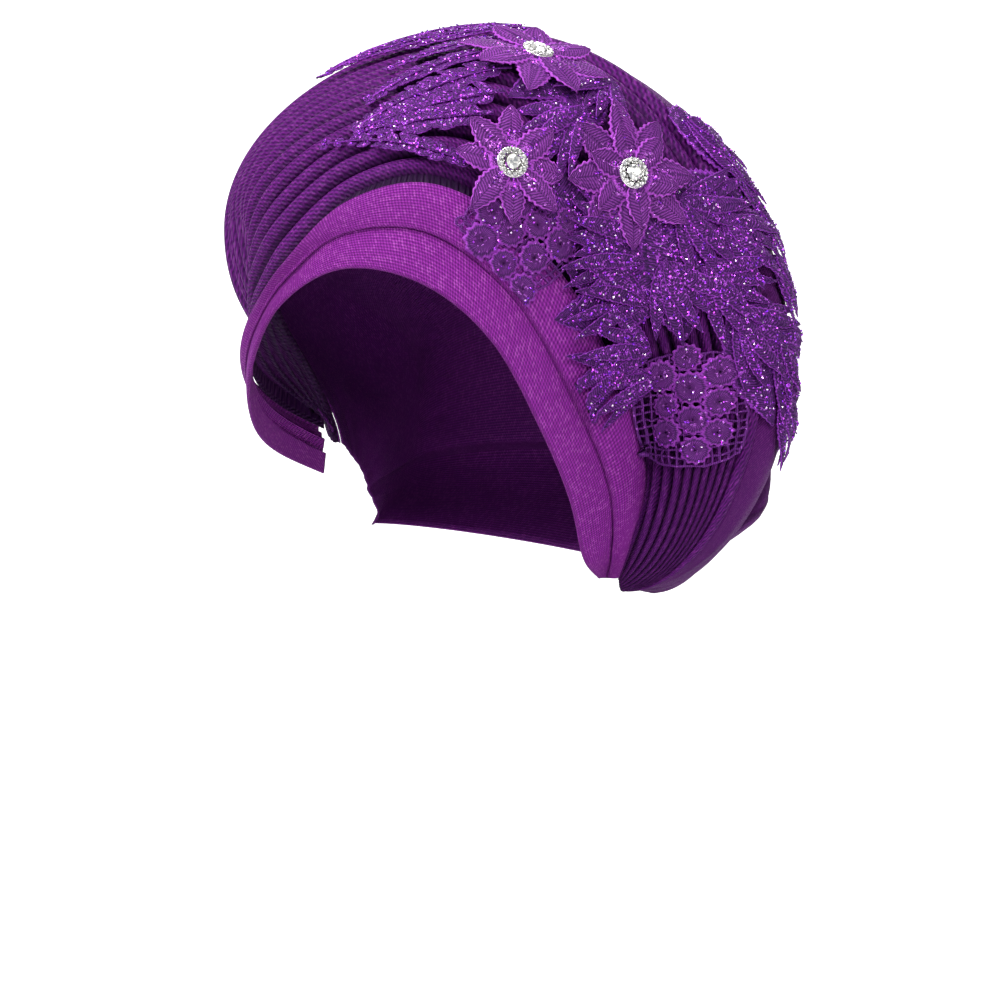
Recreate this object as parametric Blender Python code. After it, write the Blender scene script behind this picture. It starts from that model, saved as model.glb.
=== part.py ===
"""Tied gele head tie: a stiff woven cloth wrapped round the brow in two bands, folded into a fan of
pleats that ends in a fat crest roll, closed behind by a smooth drape, and trimmed at the wearer's
left front with embroidered lace sprays, nets and flowers, each flower pinned with a stone brooch.

Frame: metres, +Z up, the wearer faces -Y, +X is the wearer's left. The origin is the middle of the
head at the height of the ear tops, which is where the head wrap sits.
"""
import math

import bmesh
import bpy
import numpy as np
from mathutils import Matrix

# Driving sizes of the head that the cloth is tied on
HEAD_HALF_WIDTH = 0.074
HEAD_HALF_DEPTH = 0.094
HEAD_ROUND_FROM = 0.030   # height where the skull starts to round in
HEAD_ROUND_RISE = 0.160   # from there to the height where the rounding would close
HEAD_ROUND_LIMIT = 0.98   # the rounding is read this far at most

# Driving sizes of the wrap
BROW_RISE = 0.100         # height of the brow bands over the ear tops
BAND_STANDOFF = 0.012     # how far the over band's top edge stands off the head
BAND_WALL = 0.0022        # each band is the cloth folded on itself
FAN_OVERHANG = 0.046      # how far the fan reaches out past the head on each side
BACK_OVERHANG = 0.046     # how far the drape reaches out behind the head
CROWN_RISE = 0.070        # height of the fan over the brow bands
CLOTH_WALL = 0.0016       # one thickness of the stiff cloth with its turned backing
PLEATS = 10
PLEAT_HEIGHT = 0.0034
CREST_HEIGHT = 0.0050
CREST_WIDTH = 0.0095
HEM_WIDTH = 0.0050
HEM_HEIGHT = 0.0006
EXIT_CLEAR = 0.0045       # the first pleat rises this far behind the over band's top edge
GAP = 0.0004

# Driving sizes of the trim
LACE_WALL = 0.0010
LACE_LIFT = 0.0006        # the trim's clear height over the pleats' crowns
LAYER_STEP = 0.0014       # each lace layer lies this much over the one below
NET_PITCH = 0.0088        # one hole and one bar of the net
NET_HOLE = 0.56           # share of the pitch that is open
BROOCH_RADIUS = 0.0066
BROOCH_BASE = 0.0014
RIM_STONES = 13
RIM_STONE_HEIGHT = 0.0011
CENTRE_STONE_SHARE = 0.56  # centre stone's radius as a share of the brooch's
CENTRE_STONE_HEIGHT = 0.0030
STONE_SIDES = 8

ACROSS = 26               # facets along each fold, from the right tuck to the left tuck

FAN_HALF_WIDTH = HEAD_HALF_WIDTH + FAN_OVERHANG
FAN_DEPTH = HEAD_HALF_DEPTH + BACK_OVERHANG
FAN_HEIGHT = BROW_RISE + CROWN_RISE
FAN_SIZE = np.array([FAN_HALF_WIDTH, FAN_DEPTH, FAN_HEIGHT])

# The brow bands, from the right temple over the brow to the left ear. Turns are degrees round the
# head from the middle of the face, rises are shares of BROW_RISE, standoff of BAND_STANDOFF.
# low is the face edge, mid the groove between the bands, top the over band's upper edge.
# low_turn, low_rise, mid_turn, mid_rise, top_turn, top_rise, standoff
BAND_STATIONS = np.array([
    (-96, -0.14, -96, -0.03, -96, 0.08, 0.25),
    (-60, 0.03, -60, 0.16, -58, 0.26, 0.25),
    (-30, 0.32, -28, 0.42, -26, 0.49, 0.40),
    (-10, 0.53, -6, 0.64, -6, 0.68, 0.70),
    (13, 0.66, 14, 0.80, 16, 0.92, 1.00),
    (36, 0.60, 38, 0.80, 40, 0.98, 1.00),
    (55, 0.38, 60, 0.56, 66, 0.75, 1.00),
    (70, 0.02, 78, 0.16, 88, 0.32, 1.00),
    (80, -0.27, 92, -0.20, 106, -0.14, 1.00),
    (85, -0.50, 95, -0.46, 98, -0.42, 1.00),
    (92, -0.59, 93, -0.59, 94, -0.59, 0.80),
])

# The folds of the wrap, front to back, each an arch from the right tuck over the top to the left
# tuck. Every arch passes a right, a top and a left point, in shares of FAN_HALF_WIDTH, FAN_DEPTH
# and FAN_HEIGHT. The rows are: the middle pleat, the crest, behind the crest, the upper back, the
# lower back, the rim and the nape edge.
# right_x, right_y, right_z, top_x, top_y, top_z, left_x, left_y, left_z
FOLDS = np.array([
    (-0.41, -0.49, 0.52, 0.33, -0.31, 0.85, 0.90, 0.21, 0.14),
    (-0.77, -0.20, 0.54, 0.12, 0.10, 0.99, 1.02, 0.37, 0.19),
    (-0.87, 0.06, 0.51, 0.13, 0.33, 0.98, 1.06, 0.50, 0.15),
    (-0.88, 0.39, 0.42, 0.14, 0.66, 0.85, 0.91, 0.69, 0.12),
    (-0.75, 0.70, 0.26, 0.15, 0.97, 0.47, 0.69, 0.86, 0.06),
    (-0.70, 0.60, -0.07, 0.10, 0.94, -0.03, 0.88, 0.57, -0.20),
    (-0.62, 0.33, -0.22, 0.00, 0.69, -0.29, 0.63, 0.31, -0.36),
])
CREST, RIM, NAPE = 2, 6, 7

# The two tucks, where every fold is drawn together over the ear. Turns and rises as for the bands,
# standoffs in shares of BAND_STANDOFF, for the foremost fold and for the nape edge.
# front_turn, rear_turn, front_rise, rear_rise, front_standoff, rear_standoff
RIGHT_TUCK = (-101, -118, 0.00, -0.34, 0.20, 0.60)
LEFT_TUCK = (98, 116, -0.64, -0.64, 0.55, 0.70)
# How the folds leave each tuck: share of the pull straight out, share of the pull upwards. At the
# right temple they climb at once, and at the left ear they sweep out first.
RIGHT_PULL = (0.3, 0.8)
LEFT_PULL = (1.0, 0.0)

SIDE_SHARE = 0.2          # share of an arch's length below its right or left point
ARCH_ROUND = 1.6          # fullness of the arches, near that of a circle's quarter
PLEAT_FULLNESS = 0.55     # most height of a pleat for its pitch
CREST_FULLNESS = 1.15     # most height of the crest roll for its half width
CREST_NARROWING = 0.16    # most half width of the crest roll in fold numbers
HEM_NARROWING = 0.35      # most width of the hem in fold numbers
HEM_MIDDLE = 0.2          # the hem's middle lies this many fold numbers before the rim
FIRST_PLEAT_SHARE = 0.4   # the first pleat is held down by the band
SHARP_ANGLE = 40

# share of the band's width, share of its wall at the crown
BROW_TUCK = 1.3           # the brow band ends here, three tenths of the way under the over band
BROW_SECTION = ((0.00, 0.45), (0.05, 0.95), (0.20, 1.10), (0.50, 1.10), (0.74, 0.98), (1.00, 0.95))
OVER_SECTION = ((0.00, 0.45), (0.04, 0.90), (0.16, 1.06), (0.50, 1.12), (0.86, 1.02), (1.00, 0.60))

# How the fan is held under the over band: rows in the band's own w
TONGUE_ROWS = (1.65, 1.98)

# share of a pleat's width, share of its height
PLEAT_SECTION = ((0.00, 0.0), (0.27, 0.95), (0.73, 0.95))
CREST_SECTION = ((0.00, 0.0), (0.16, 0.78), (0.50, 1.0), (0.84, 0.78), (1.00, 0.0))

# stretch of the drape, share of that stretch, share of the hem's height
DRAPE_ROWS = (("body", 0.00, 0), ("body", 0.11, 0), ("body", 0.24, 0), ("body", 0.38, 0),
              ("body", 0.53, 0), ("body", 0.70, 0), ("body", 0.86, 0), ("body", 1.00, 0),
              ("hem", 0.85, 1), ("hem", 0.15, 1), ("nape", 0.03, 0), ("nape", 0.45, 0),
              ("nape", 1.00, 0))

# How the trim's ground runs from the band over the first pleat and over the crest, in fold numbers
BAND_BLEND = 0.14
CREST_RAMP = (1.64, 1.86, 2.15, 2.60)
LAYING_STEPS = 6
# Steps in s and in fold numbers that slopes are read over
WRAP_STEP_S, WRAP_STEP_FOLD = 0.004, 0.020
COVER_STEP_S, COVER_STEP_FOLD = 0.006, 0.050

# Leafy sprays: width, leaf tips on each side, and the spine as (s, fold) places on the wrap
SPRAYS = (
    ("spray_crest", 0.020, 7, ((0.475, 2.16), (0.42, 2.12), (0.36, 1.97))),
    ("spray_front", 0.040, 6, ((0.555, 1.05), (0.49, 0.78), (0.42, 0.55))),
    ("spray_brow", 0.012, 5, ((0.52, 0.16), (0.48, 0.16), (0.43, 0.18))),
    ("spray_side_front", 0.018, 5, ((0.66, 0.25), (0.69, -0.10), (0.73, -0.40))),
    ("spray_side_upper", 0.026, 7, ((0.72, 1.70), (0.74, 2.30), (0.765, 3.10))),
    ("spray_rear_upper", 0.024, 6, ((0.64, 2.30), (0.68, 2.75), (0.72, 3.30))),
    ("spray_side_lower", 0.024, 8, ((0.79, 1.95), (0.805, 2.80), (0.80, 3.60), (0.79, 4.60))),
)

# Pieces of net: place, turn in degrees, holes across, holes down
NETS = (
    ("net_front", (0.585, -0.02), -8, 5, 4),
    ("net_side", (0.812, 0.80), 0, 5, 5),
)

# Flowers: place, turn in degrees, radius, petals, layer
FLOWERS = (
    ("flower_top", (0.556, 1.32), 10, 0.028, 8, 1),
    ("flower_front", (0.560, 0.28), 0, 0.0235, 8, 1),
    ("flower_side", (0.666, 0.98), 12, 0.0295, 9, 1),
    ("flower_side_upper", (0.666, 0.98), 32, 0.022, 7, 2),
)
# share of a petal's width, share of its reach
PETAL_OUTLINE = ((0.0, 0.64), (0.20, 0.92), (0.50, 1.0), (0.80, 0.92))
PETAL_RINGS = (0.40, 1.0)
PETAL_LIFT = 0.0006
SPRAY_FULLEST, SPRAY_TAPER, SPRAY_TIP = 0.35, 0.68, 0.03
LEAF_NOTCH = 0.55
SPRAY_STRAND = 0.026      # a spray wider than this is bent along more lines
NET_CORNER = 0.16

# Brooches: place, lace layers under them
BROOCHES = (
    ("brooch_top", (0.556, 1.32), 2),
    ("brooch_front", (0.560, 0.28), 2),
    ("brooch_side", (0.666, 0.98), 3),
)
BROOCH_SEAT = 0.0004      # the cup's flat base rocks this much over the curved lace
BROOCH_SIDES = 16
TABLE_SHARE = 0.55        # a cut stone's flat top as a share of its width
RIM_STONE_MIDDLE = 0.3    # a rim stone's middle over the cup's top, as a share of its height
RIM_STONE_DEPTH = 1.4     # its whole depth, the part sunk in the cup included, as such a share
# centre stone: share of its radius, share of its height, turned by half a side
STONE_SECTION = ((0.90, 0.0, 0), (1.0, 0.35, 0), (0.86, 0.70, 1), (TABLE_SHARE, 1.0, 0))

# Colours: red, green, blue; roughness; metallic
BAND_CLOTH = ((0.36, 0.10, 0.40), 0.62)
PLEAT_CLOTH = ((0.20, 0.035, 0.26), 0.62)
DRAPE_CLOTH = ((0.22, 0.04, 0.27), 0.66)
LACE_THREAD = ((0.24, 0.06, 0.34), 0.45)
NET_THREAD = ((0.18, 0.03, 0.24), 0.60)
PETAL_THREAD = ((0.27, 0.07, 0.33), 0.55)
SILVER = ((0.80, 0.80, 0.82), 0.22, 1.0)
CLEAR_STONE = ((0.86, 0.90, 0.90), 0.05)


def catmull(rows, at):
    """Smooth curve through the rows of a table, read at row number at."""
    last = len(rows) - 1
    at = np.clip(np.asarray(at, float), 0, last)
    low = np.minimum(at.astype(int), last - 1)
    f = (at - low)[..., None]
    padded = np.concatenate([[2 * rows[0] - rows[1]], rows, [2 * rows[-1] - rows[-2]]])
    before, start, end, after = (padded[low + step] for step in range(4))
    return 0.5 * (2 * start + (end - before) * f + (2 * before - 5 * start + 4 * end - after) * f**2
                  + (3 * start - before - 3 * end + after) * f**3)


def on_head(turn, rise, off):
    """Point at a turn in degrees and a height on the head's own ellipse, standing off it."""
    height = np.asarray(rise) * BROW_RISE
    round_in = np.clip(height - HEAD_ROUND_FROM, 0, HEAD_ROUND_RISE * HEAD_ROUND_LIMIT) / HEAD_ROUND_RISE
    k = np.sqrt(1 - round_in**2)
    t = np.radians(turn)
    return np.stack([(HEAD_HALF_WIDTH * k + off) * np.sin(t),
                     -(HEAD_HALF_DEPTH * k + off) * np.cos(t), height + 0 * t], -1)


def band_point(s, w, off):
    """Point on the bands: s from the right to the left end, w = 0 face edge, 1 groove, 2 top."""
    row = catmull(BAND_STATIONS, np.asarray(s) * (len(BAND_STATIONS) - 1))
    w = np.asarray(w, float)
    upper = w > 1
    share = np.where(upper, w - 1, w)
    turn = np.where(upper, row[..., 2] + (row[..., 4] - row[..., 2]) * share,
                    row[..., 0] + (row[..., 2] - row[..., 0]) * share)
    rise = np.where(upper, row[..., 3] + (row[..., 5] - row[..., 3]) * share,
                    row[..., 1] + (row[..., 3] - row[..., 1]) * share)
    return on_head(turn, rise, off)


def standoff(s):
    """How far the over band's top edge stands off the head at s."""
    return catmull(BAND_STATIONS, np.asarray(s) * (len(BAND_STATIONS) - 1))[..., 6] * BAND_STANDOFF


def over_outer(s, w):
    """Standoff of the over band's outer face, from the groove to its top edge."""
    return standoff(s) * (2 + (w - 1)) / 3


def brow_outer(s, w):
    """Standoff of the brow band's outer face, which slips under the over band past the groove."""
    under = over_outer(s, np.maximum(w, 1)) - BAND_WALL - GAP
    share = np.clip(w, 0, 1)
    return standoff(s) / 3 * (1 - share) + under * share


def quarter(start, start_pull, end, end_pull, share):
    """Rounded stretch of an arch between two points."""
    f = share[..., None]
    return (start * (1 - 3 * f**2 + 2 * f**3) + start_pull * (f - 2 * f**2 + f**3)
            + end * (3 * f**2 - 2 * f**3) + end_pull * (f**3 - f**2))


def tuck_point(tuck, share):
    """Where a fold starts at a tuck: share 0 is the foremost fold and 1 the nape edge."""
    front_turn, rear_turn, front_rise, rear_rise, front_off, rear_off = tuck
    turn = front_turn + (rear_turn - front_turn) * share
    rise = front_rise + (rear_rise - front_rise) * share**2
    off = (front_off + (rear_off - front_off) * share) * BAND_STANDOFF
    return on_head(turn, rise, off)


def fold_arch(number, s):
    """One fold of the wrap: its points at shares s of the way from the right to the left tuck."""
    right, top, left = (FOLDS[number][3 * j:3 * j + 3] * FAN_SIZE for j in range(3))
    share = number / (len(FOLDS) - 1)
    up = top - (right + left) / 2
    up[0] = 0
    up /= np.linalg.norm(up)
    along = (left - right) - up * ((left - right) @ up)
    along /= np.linalg.norm(along)
    halves = []
    ends = ((right, RIGHT_TUCK, RIGHT_PULL, s, 1), (left, LEFT_TUCK, LEFT_PULL, 1 - s, -1))
    for side, tuck, pull, at, sign in ends:
        foot = tuck_point(tuck, share)
        lift = (side - foot) @ up * up
        out = side - foot - lift
        leave = ARCH_ROUND * (pull[0] * out + pull[1] * lift)
        low = quarter(foot, leave, side, ARCH_ROUND * lift, np.clip(at / SIDE_SHARE, 0, 1))
        rise = ARCH_ROUND * ((top - side) @ up) * up
        reach = ARCH_ROUND * abs((top - side) @ along) * along * sign
        high = quarter(side, rise, top, reach, np.clip((at - SIDE_SHARE) / (0.5 - SIDE_SHARE), 0, 1))
        halves.append(np.where((at < SIDE_SHARE)[..., None], low, high))
    return np.where((s <= 0.5)[..., None], halves[0], halves[1])


def wrap(s, fold):
    """The wrap's smooth form. Fold 0 leaves the over band's top edge, and 1 to 7 are FOLDS."""
    s, fold = np.broadcast_arrays(np.asarray(s, float), np.asarray(fold, float))
    band_width = np.linalg.norm(band_point(s, 2.0, 0.0) - band_point(s, 1.0, 0.0), axis=-1)
    exit_row = band_point(s, 2 + EXIT_CLEAR / band_width, over_outer(s, 2.0) - BAND_WALL - GAP)
    arches = np.stack([exit_row] + [fold_arch(i, s) for i in range(len(FOLDS))])
    padded = np.concatenate([[2 * arches[0] - arches[1]], arches, [2 * arches[-1] - arches[-2]]])
    low = np.minimum(np.clip(fold, 0, NAPE).astype(int), NAPE - 1)
    f = (fold - low)[..., None]
    before, start, end, after = (np.take_along_axis(padded, (low + step)[None, ..., None], 0)[0]
                                 for step in range(4))
    return 0.5 * (2 * start + (end - before) * f + (2 * before - 5 * start + 4 * end - after) * f**2
                  + (3 * start - before - 3 * end + after) * f**3)


def wrap_slopes(s, fold):
    """How the wrap runs along a fold and from fold to fold, and its outward normal."""
    s0, s1 = np.clip(s - WRAP_STEP_S, 0, 1), np.clip(s + WRAP_STEP_S, 0, 1)
    f0, f1 = np.clip(fold - WRAP_STEP_FOLD, 0, NAPE), np.clip(fold + WRAP_STEP_FOLD, 0, NAPE)
    along = (wrap(s1, fold) - wrap(s0, fold)) / (s1 - s0)[..., None]
    across = (wrap(s, f1) - wrap(s, f0)) / (f1 - f0)[..., None]
    normal = np.cross(along, across)
    normal /= np.linalg.norm(normal, axis=-1)[..., None]
    return along, across, normal


def fold_width(s, fold):
    """Length on the wrap of one whole fold number at this place."""
    return np.linalg.norm(wrap_slopes(s, fold)[1], axis=-1)


def crest_half(s):
    """Half of the crest roll's width, in fold numbers. It narrows where the tucks draw it in."""
    return np.minimum(CREST_WIDTH / 2 / fold_width(s, CREST + 0 * s), CREST_NARROWING)


def clear_share(s, fold):
    """The gap between two pieces of the wrap, in fold numbers."""
    return GAP / fold_width(s, fold)


def pleat_height(s, fold):
    """Height of a pleat's crown, which sinks where the tucks draw the pleats together."""
    pitch = fold_width(s, fold) * CREST / PLEATS
    return np.minimum(PLEAT_HEIGHT, PLEAT_FULLNESS * pitch)


def crest_height(s):
    """Height of the crest roll's crown."""
    return np.minimum(CREST_HEIGHT, CREST_FULLNESS * crest_half(s) * fold_width(s, CREST + 0 * s))


def lifted(s, fold, height):
    """Point at a height over the wrap's smooth form."""
    return wrap(s, fold) + wrap_slopes(s, fold)[2] * np.asarray(height)[..., None]


def wall_solid(name, outer, inner, material, ring=False, holes=(), centre=None):
    """Closed wall between two skins of points, each rows by columns, with its edges joined.

    ring closes the columns on themselves, holes lists (row, column) cells left open, and centre
    gives one point for each skin that closes the first row of a ring."""
    mesh = bmesh.new()
    rows, columns = outer.shape[:2]
    skins = [[[mesh.verts.new(point) for point in row] for row in skin] for skin in (outer, inner)]
    partner = {a: b for row_a, row_b in zip(*skins) for a, b in zip(row_a, row_b)}
    for skin in skins:
        for r in range(rows - 1):
            for c in range(columns if ring else columns - 1):
                if (r, c) not in holes:
                    after = (c + 1) % columns
                    mesh.faces.new((skin[r][c], skin[r][after], skin[r + 1][after], skin[r + 1][c]))
    if centre is not None:
        middles = [mesh.verts.new(point) for point in centre]
        partner[middles[0]] = middles[1]
        for skin, middle in zip(skins, middles):
            for c in range(columns):
                mesh.faces.new((skin[0][(c + 1) % columns], skin[0][c], middle))
    rim = [edge for edge in mesh.edges if edge.is_boundary and edge.verts[0] in partner]
    for edge in rim:
        a, b = edge.verts
        mesh.faces.new((a, b, partner[b], partner[a]))
    loose = [vert for vert in mesh.verts if not vert.link_faces]
    bmesh.ops.delete(mesh, geom=loose, context="VERTS")
    return finish(name, mesh, material)


def finish(name, mesh, material):
    """Turn a bmesh's faces out and make it an object with its own material.

    The twisted four-sided faces are split here, so that neighbours meet along the same facets."""
    bmesh.ops.recalc_face_normals(mesh, faces=mesh.faces)
    if mesh.calc_volume(signed=True) < 0:
        bmesh.ops.reverse_faces(mesh, faces=mesh.faces)
    bmesh.ops.triangulate(mesh, faces=mesh.faces)
    data = bpy.data.meshes.new(name)
    mesh.to_mesh(data)
    mesh.free()
    data.shade_smooth()
    data.set_sharp_from_angle(angle=math.radians(SHARP_ANGLE))
    piece = bpy.data.objects.new(name, data)
    bpy.context.scene.collection.objects.link(piece)
    data.materials.append(paint(name, *material))
    return piece


def paint(name, colour, roughness, metallic=0.0):
    """Plain material of a piece."""
    material = bpy.data.materials.new(name)
    material.use_nodes = True
    shader = material.node_tree.nodes["Principled BSDF"]
    shader.inputs["Base Color"].default_value = (*colour, 1)
    shader.inputs["Roughness"].default_value = roughness
    shader.inputs["Metallic"].default_value = metallic
    material.diffuse_color = (*colour, 1)
    return material


def band(name, first_w, last_w, nominal, section, material):
    """A brow band: its outer face follows nominal(s, w), crowned by the section's table."""
    s = np.linspace(0, 1, ACROSS + 1)
    outer, inner = [], []
    for share, crown in section:
        w = first_w + (last_w - first_w) * share
        face = nominal(s, w)
        outer.append(band_point(s, w, face - BAND_WALL * (1 - crown)))
        inner.append(band_point(s, w, face - BAND_WALL))
    return wall_solid(name, np.array(outer), np.array(inner), material)


def pleated_fan(material):
    """The cloth leaves the bands and stands in round pleats up to the crest roll."""
    s = np.linspace(0, 1, ACROSS + 1)
    outer, inner = [], []
    for w in TONGUE_ROWS:
        face = over_outer(s, w) - BAND_WALL - GAP
        outer.append(band_point(s, w, face))
        inner.append(band_point(s, w, face - CLOTH_WALL))
    end = CREST - crest_half(s)
    end -= clear_share(s, end)
    for pleat in range(PLEATS):
        for share, crown in PLEAT_SECTION:
            fold = end * (pleat + share) / PLEATS
            low = FIRST_PLEAT_SHARE if pleat == 0 else 1.0
            outer.append(lifted(s, fold, pleat_height(s, fold) * crown * low))
            inner.append(lifted(s, fold, -CLOTH_WALL + 0 * s))
    outer.append(lifted(s, end, 0 * s))
    inner.append(lifted(s, end, -CLOTH_WALL + 0 * s))
    return wall_solid("pleated_fan", np.array(outer), np.array(inner), material)


def crest_roll(material):
    """The last and fattest fold, along the fan's outer edge."""
    s = np.linspace(0, 1, ACROSS + 1)
    outer, inner = [], []
    half, height = crest_half(s), crest_height(s)
    for share, crown in CREST_SECTION:
        fold = CREST + half * (2 * share - 1)
        outer.append(lifted(s, fold, height * crown))
        inner.append(lifted(s, fold, -CLOTH_WALL + 0 * s))
    return wall_solid("crest_roll", np.array(outer), np.array(inner), material)


def back_drape(material):
    """The smooth cloth behind the crest, with its hem along the rim, turned in to the nape."""
    s = np.linspace(0, 1, ACROSS + 1)
    start = CREST + crest_half(s)
    start += clear_share(s, start)
    hem = HEM_WIDTH / fold_width(s, RIM - HEM_MIDDLE + 0 * s)
    hem = np.minimum(hem, HEM_NARROWING)
    outer, inner = [], []
    for kind, number, height in DRAPE_ROWS:
        if kind == "body":
            fold = start + (RIM - hem - start) * number
        elif kind == "hem":
            fold = RIM - hem * number
        else:
            fold = RIM + (NAPE - RIM) * number + 0 * s
        outer.append(lifted(s, fold, HEM_HEIGHT * height + 0 * s))
        inner.append(lifted(s, fold, -CLOTH_WALL + 0 * s))
    return wall_solid("back_drape", np.array(outer), np.array(inner), material)


def cover(s, fold):
    """The surface that the trim lies on: the bands' face, the pleats' crowns, then the drape."""
    s, fold = np.broadcast_arrays(np.asarray(s, float), np.asarray(fold, float))
    on_band = band_point(s, 2 + np.minimum(fold, 0), over_outer(s, 2 + np.minimum(fold, 0)))
    held = np.maximum(fold, BAND_BLEND)
    to_crest = np.clip((held - CREST_RAMP[0]) / (CREST_RAMP[1] - CREST_RAMP[0]), 0, 1)
    to_drape = np.clip((held - CREST_RAMP[2]) / (CREST_RAMP[3] - CREST_RAMP[2]), 0, 1)
    height = pleat_height(s, held) * (1 - to_crest) + crest_height(s) * to_crest
    on_fan = lifted(s, held, height * (1 - to_drape))
    mix = np.clip(fold / BAND_BLEND, 0, 1)[..., None]
    return on_band * (1 - mix) + on_fan * mix


def cover_frame(s, fold):
    """Slopes along and across the cover, and its outward normal."""
    along = (cover(s + COVER_STEP_S, fold) - cover(s - COVER_STEP_S, fold)) / (2 * COVER_STEP_S)
    across = cover(s, fold + COVER_STEP_FOLD) - cover(s, fold - COVER_STEP_FOLD)
    across /= 2 * COVER_STEP_FOLD
    normal = np.cross(along, across)
    normal /= np.linalg.norm(normal, axis=-1)[..., None]
    return along, across, normal


def stepped(s, fold, move):
    """The place on the cover that lies a small move away, given as a vector along it."""
    along, across, _ = cover_frame(s, fold)
    aa, ac, cc = (along**2).sum(-1), (along * across).sum(-1), (across**2).sum(-1)
    ma, mc = (along * move).sum(-1), (across * move).sum(-1)
    scale = aa * cc - ac**2
    return s + (ma * cc - mc * ac) / scale, fold + (mc * aa - ma * ac) / scale


def laid(place, flat, turn=0.0):
    """Lay flat points, rows by columns by 2, on the cover round a place, and give s and fold."""
    s0, fold0 = np.array(place[0], float), np.array(place[1], float)
    along, _, normal = cover_frame(s0, fold0)
    right = along / np.linalg.norm(along)
    up = np.cross(normal, right)
    t = math.radians(turn)
    x = flat[..., 0] * math.cos(t) - flat[..., 1] * math.sin(t)
    y = flat[..., 0] * math.sin(t) + flat[..., 1] * math.cos(t)
    target = cover(s0, fold0) + x[..., None] * right + y[..., None] * up
    s, fold = s0 + 0 * x, fold0 + 0 * x
    for _ in range(LAYING_STEPS):
        gap = target - cover(s, fold)
        gap -= (gap @ normal)[..., None] * normal
        s, fold = stepped(s, fold, gap)
    return s, fold


def lace_solid(name, s, fold, layer, material, rise=0.0, **shape):
    """A flat lace shape laid on the cover: its two skins lie one lace wall apart."""
    base, normal = cover(s, fold), cover_frame(s, fold)[2]
    low = LACE_LIFT + layer * LAYER_STEP + rise
    inner = base + normal * np.asarray(low)[..., None]
    outer = base + normal * np.asarray(low + LACE_WALL)[..., None]
    return wall_solid(name, outer, inner, material, **shape)


def spray(name, spine, width, leaves, material):
    """A leafy strip along a spine of (s, fold) places, scalloped into leaf tips on both sides."""
    t = np.linspace(0, 1, 2 * leaves + 1)
    path = catmull(np.array(spine, float), t * (len(spine) - 1))
    s, fold = path[:, 0], path[:, 1]
    centre = cover(s, fold)
    run = np.gradient(centre, axis=0)
    side = np.cross(cover_frame(s, fold)[2], run)
    side /= np.linalg.norm(side, axis=-1)[..., None]
    taper = np.sqrt(np.clip(1 - (t - SPRAY_FULLEST)**2 / SPRAY_TAPER**2, SPRAY_TIP, 1))
    half = width / 2 * taper * np.where(np.arange(len(t)) % 2, 1.0, LEAF_NOTCH)
    strands = 2 * math.ceil(width / SPRAY_STRAND) + 1
    rows = [stepped(s, fold, side * (half * share)[:, None]) for share in np.linspace(-1, 1, strands)]
    lace_solid(name, np.array([row[0] for row in rows]), np.array([row[1] for row in rows]), 0,
               material)


def net(name, place, turn, columns, rows, material):
    """A piece of net with rounded corners: every other cell of every other row is open."""
    bar = NET_PITCH * (1 - NET_HOLE)
    x, y = (np.cumsum([0] + [bar, NET_PITCH - bar] * count + [bar]) for count in (columns, rows))
    x, y = np.meshgrid(x - x.mean(), y - y.mean())
    reach_x, reach_y = x.max(), y.max()
    pull = 1 - NET_CORNER * (x / reach_x)**2 * (y / reach_y)**2
    flat = np.stack([x * pull, y * pull], -1)
    s, fold = laid(place, flat, turn)
    holes = {(2 * r + 1, 2 * c + 1) for r in range(rows) for c in range(columns)}
    lace_solid(name, s, fold, 0, material, holes=holes)


def flower(name, place, turn, radius, petals, layer, material):
    """An embroidered flower: petals in one sheet, with the outline notched between them."""
    angles, reaches = [], []
    for petal in range(petals):
        for share, reach in PETAL_OUTLINE:
            angles.append(2 * math.pi * (petal + share) / petals)
            reaches.append(reach)
    angles, reaches = np.array(angles), np.array(reaches)
    rings = np.array(PETAL_RINGS)[:, None]
    r = radius * (rings * (1 + (reaches - 1) * rings))
    flat = np.stack([r * np.cos(angles), r * np.sin(angles)], -1)
    s, fold = laid(place, flat, turn)
    rise = PETAL_LIFT * rings**2 + 0 * r
    middle = np.array(place[0], float), np.array(place[1], float)
    base, normal = cover(*middle), cover_frame(*middle)[2]
    low = LACE_LIFT + layer * LAYER_STEP
    centre = (base + normal * (low + LACE_WALL), base + normal * low)
    lace_solid(name, s, fold, layer, material, rise=rise, ring=True, centre=centre)


def turned(name, profile, sides, material, twists=None):
    """Solid of revolution about +Z from (radius, height) rows, closed with flat end faces."""
    mesh = bmesh.new()
    rings = []
    for number, (radius, height) in enumerate(profile):
        start = math.pi / sides if twists and twists[number] else 0
        angles = [start + 2 * math.pi * i / sides for i in range(sides)]
        rings.append([mesh.verts.new((radius * math.cos(a), radius * math.sin(a), height))
                      for a in angles])
    for number, (low, high) in enumerate(zip(rings, rings[1:])):
        half_turned = bool(twists) and twists[number] != twists[number + 1]
        for i in range(sides):
            j = (i + 1) % sides
            if half_turned:
                mesh.faces.new((low[i], low[j], high[i]))
                mesh.faces.new((low[j], high[j], high[i]))
            else:
                mesh.faces.new((low[i], low[j], high[j], high[i]))
    mesh.faces.new(rings[0][::-1])
    mesh.faces.new(rings[-1])
    return finish(name, mesh, material)


def seat_matrix(place, height):
    """Where a brooch sits: its +Z along the cover's normal, at a height over the cover."""
    s, fold = np.array(place[0], float), np.array(place[1], float)
    along, _, normal = cover_frame(s, fold)
    right = along / np.linalg.norm(along)
    up = np.cross(normal, right)
    spot = cover(s, fold) + normal * height
    return Matrix(((right[0], up[0], normal[0], spot[0]), (right[1], up[1], normal[1], spot[1]),
                   (right[2], up[2], normal[2], spot[2]), (0, 0, 0, 1)))


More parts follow.
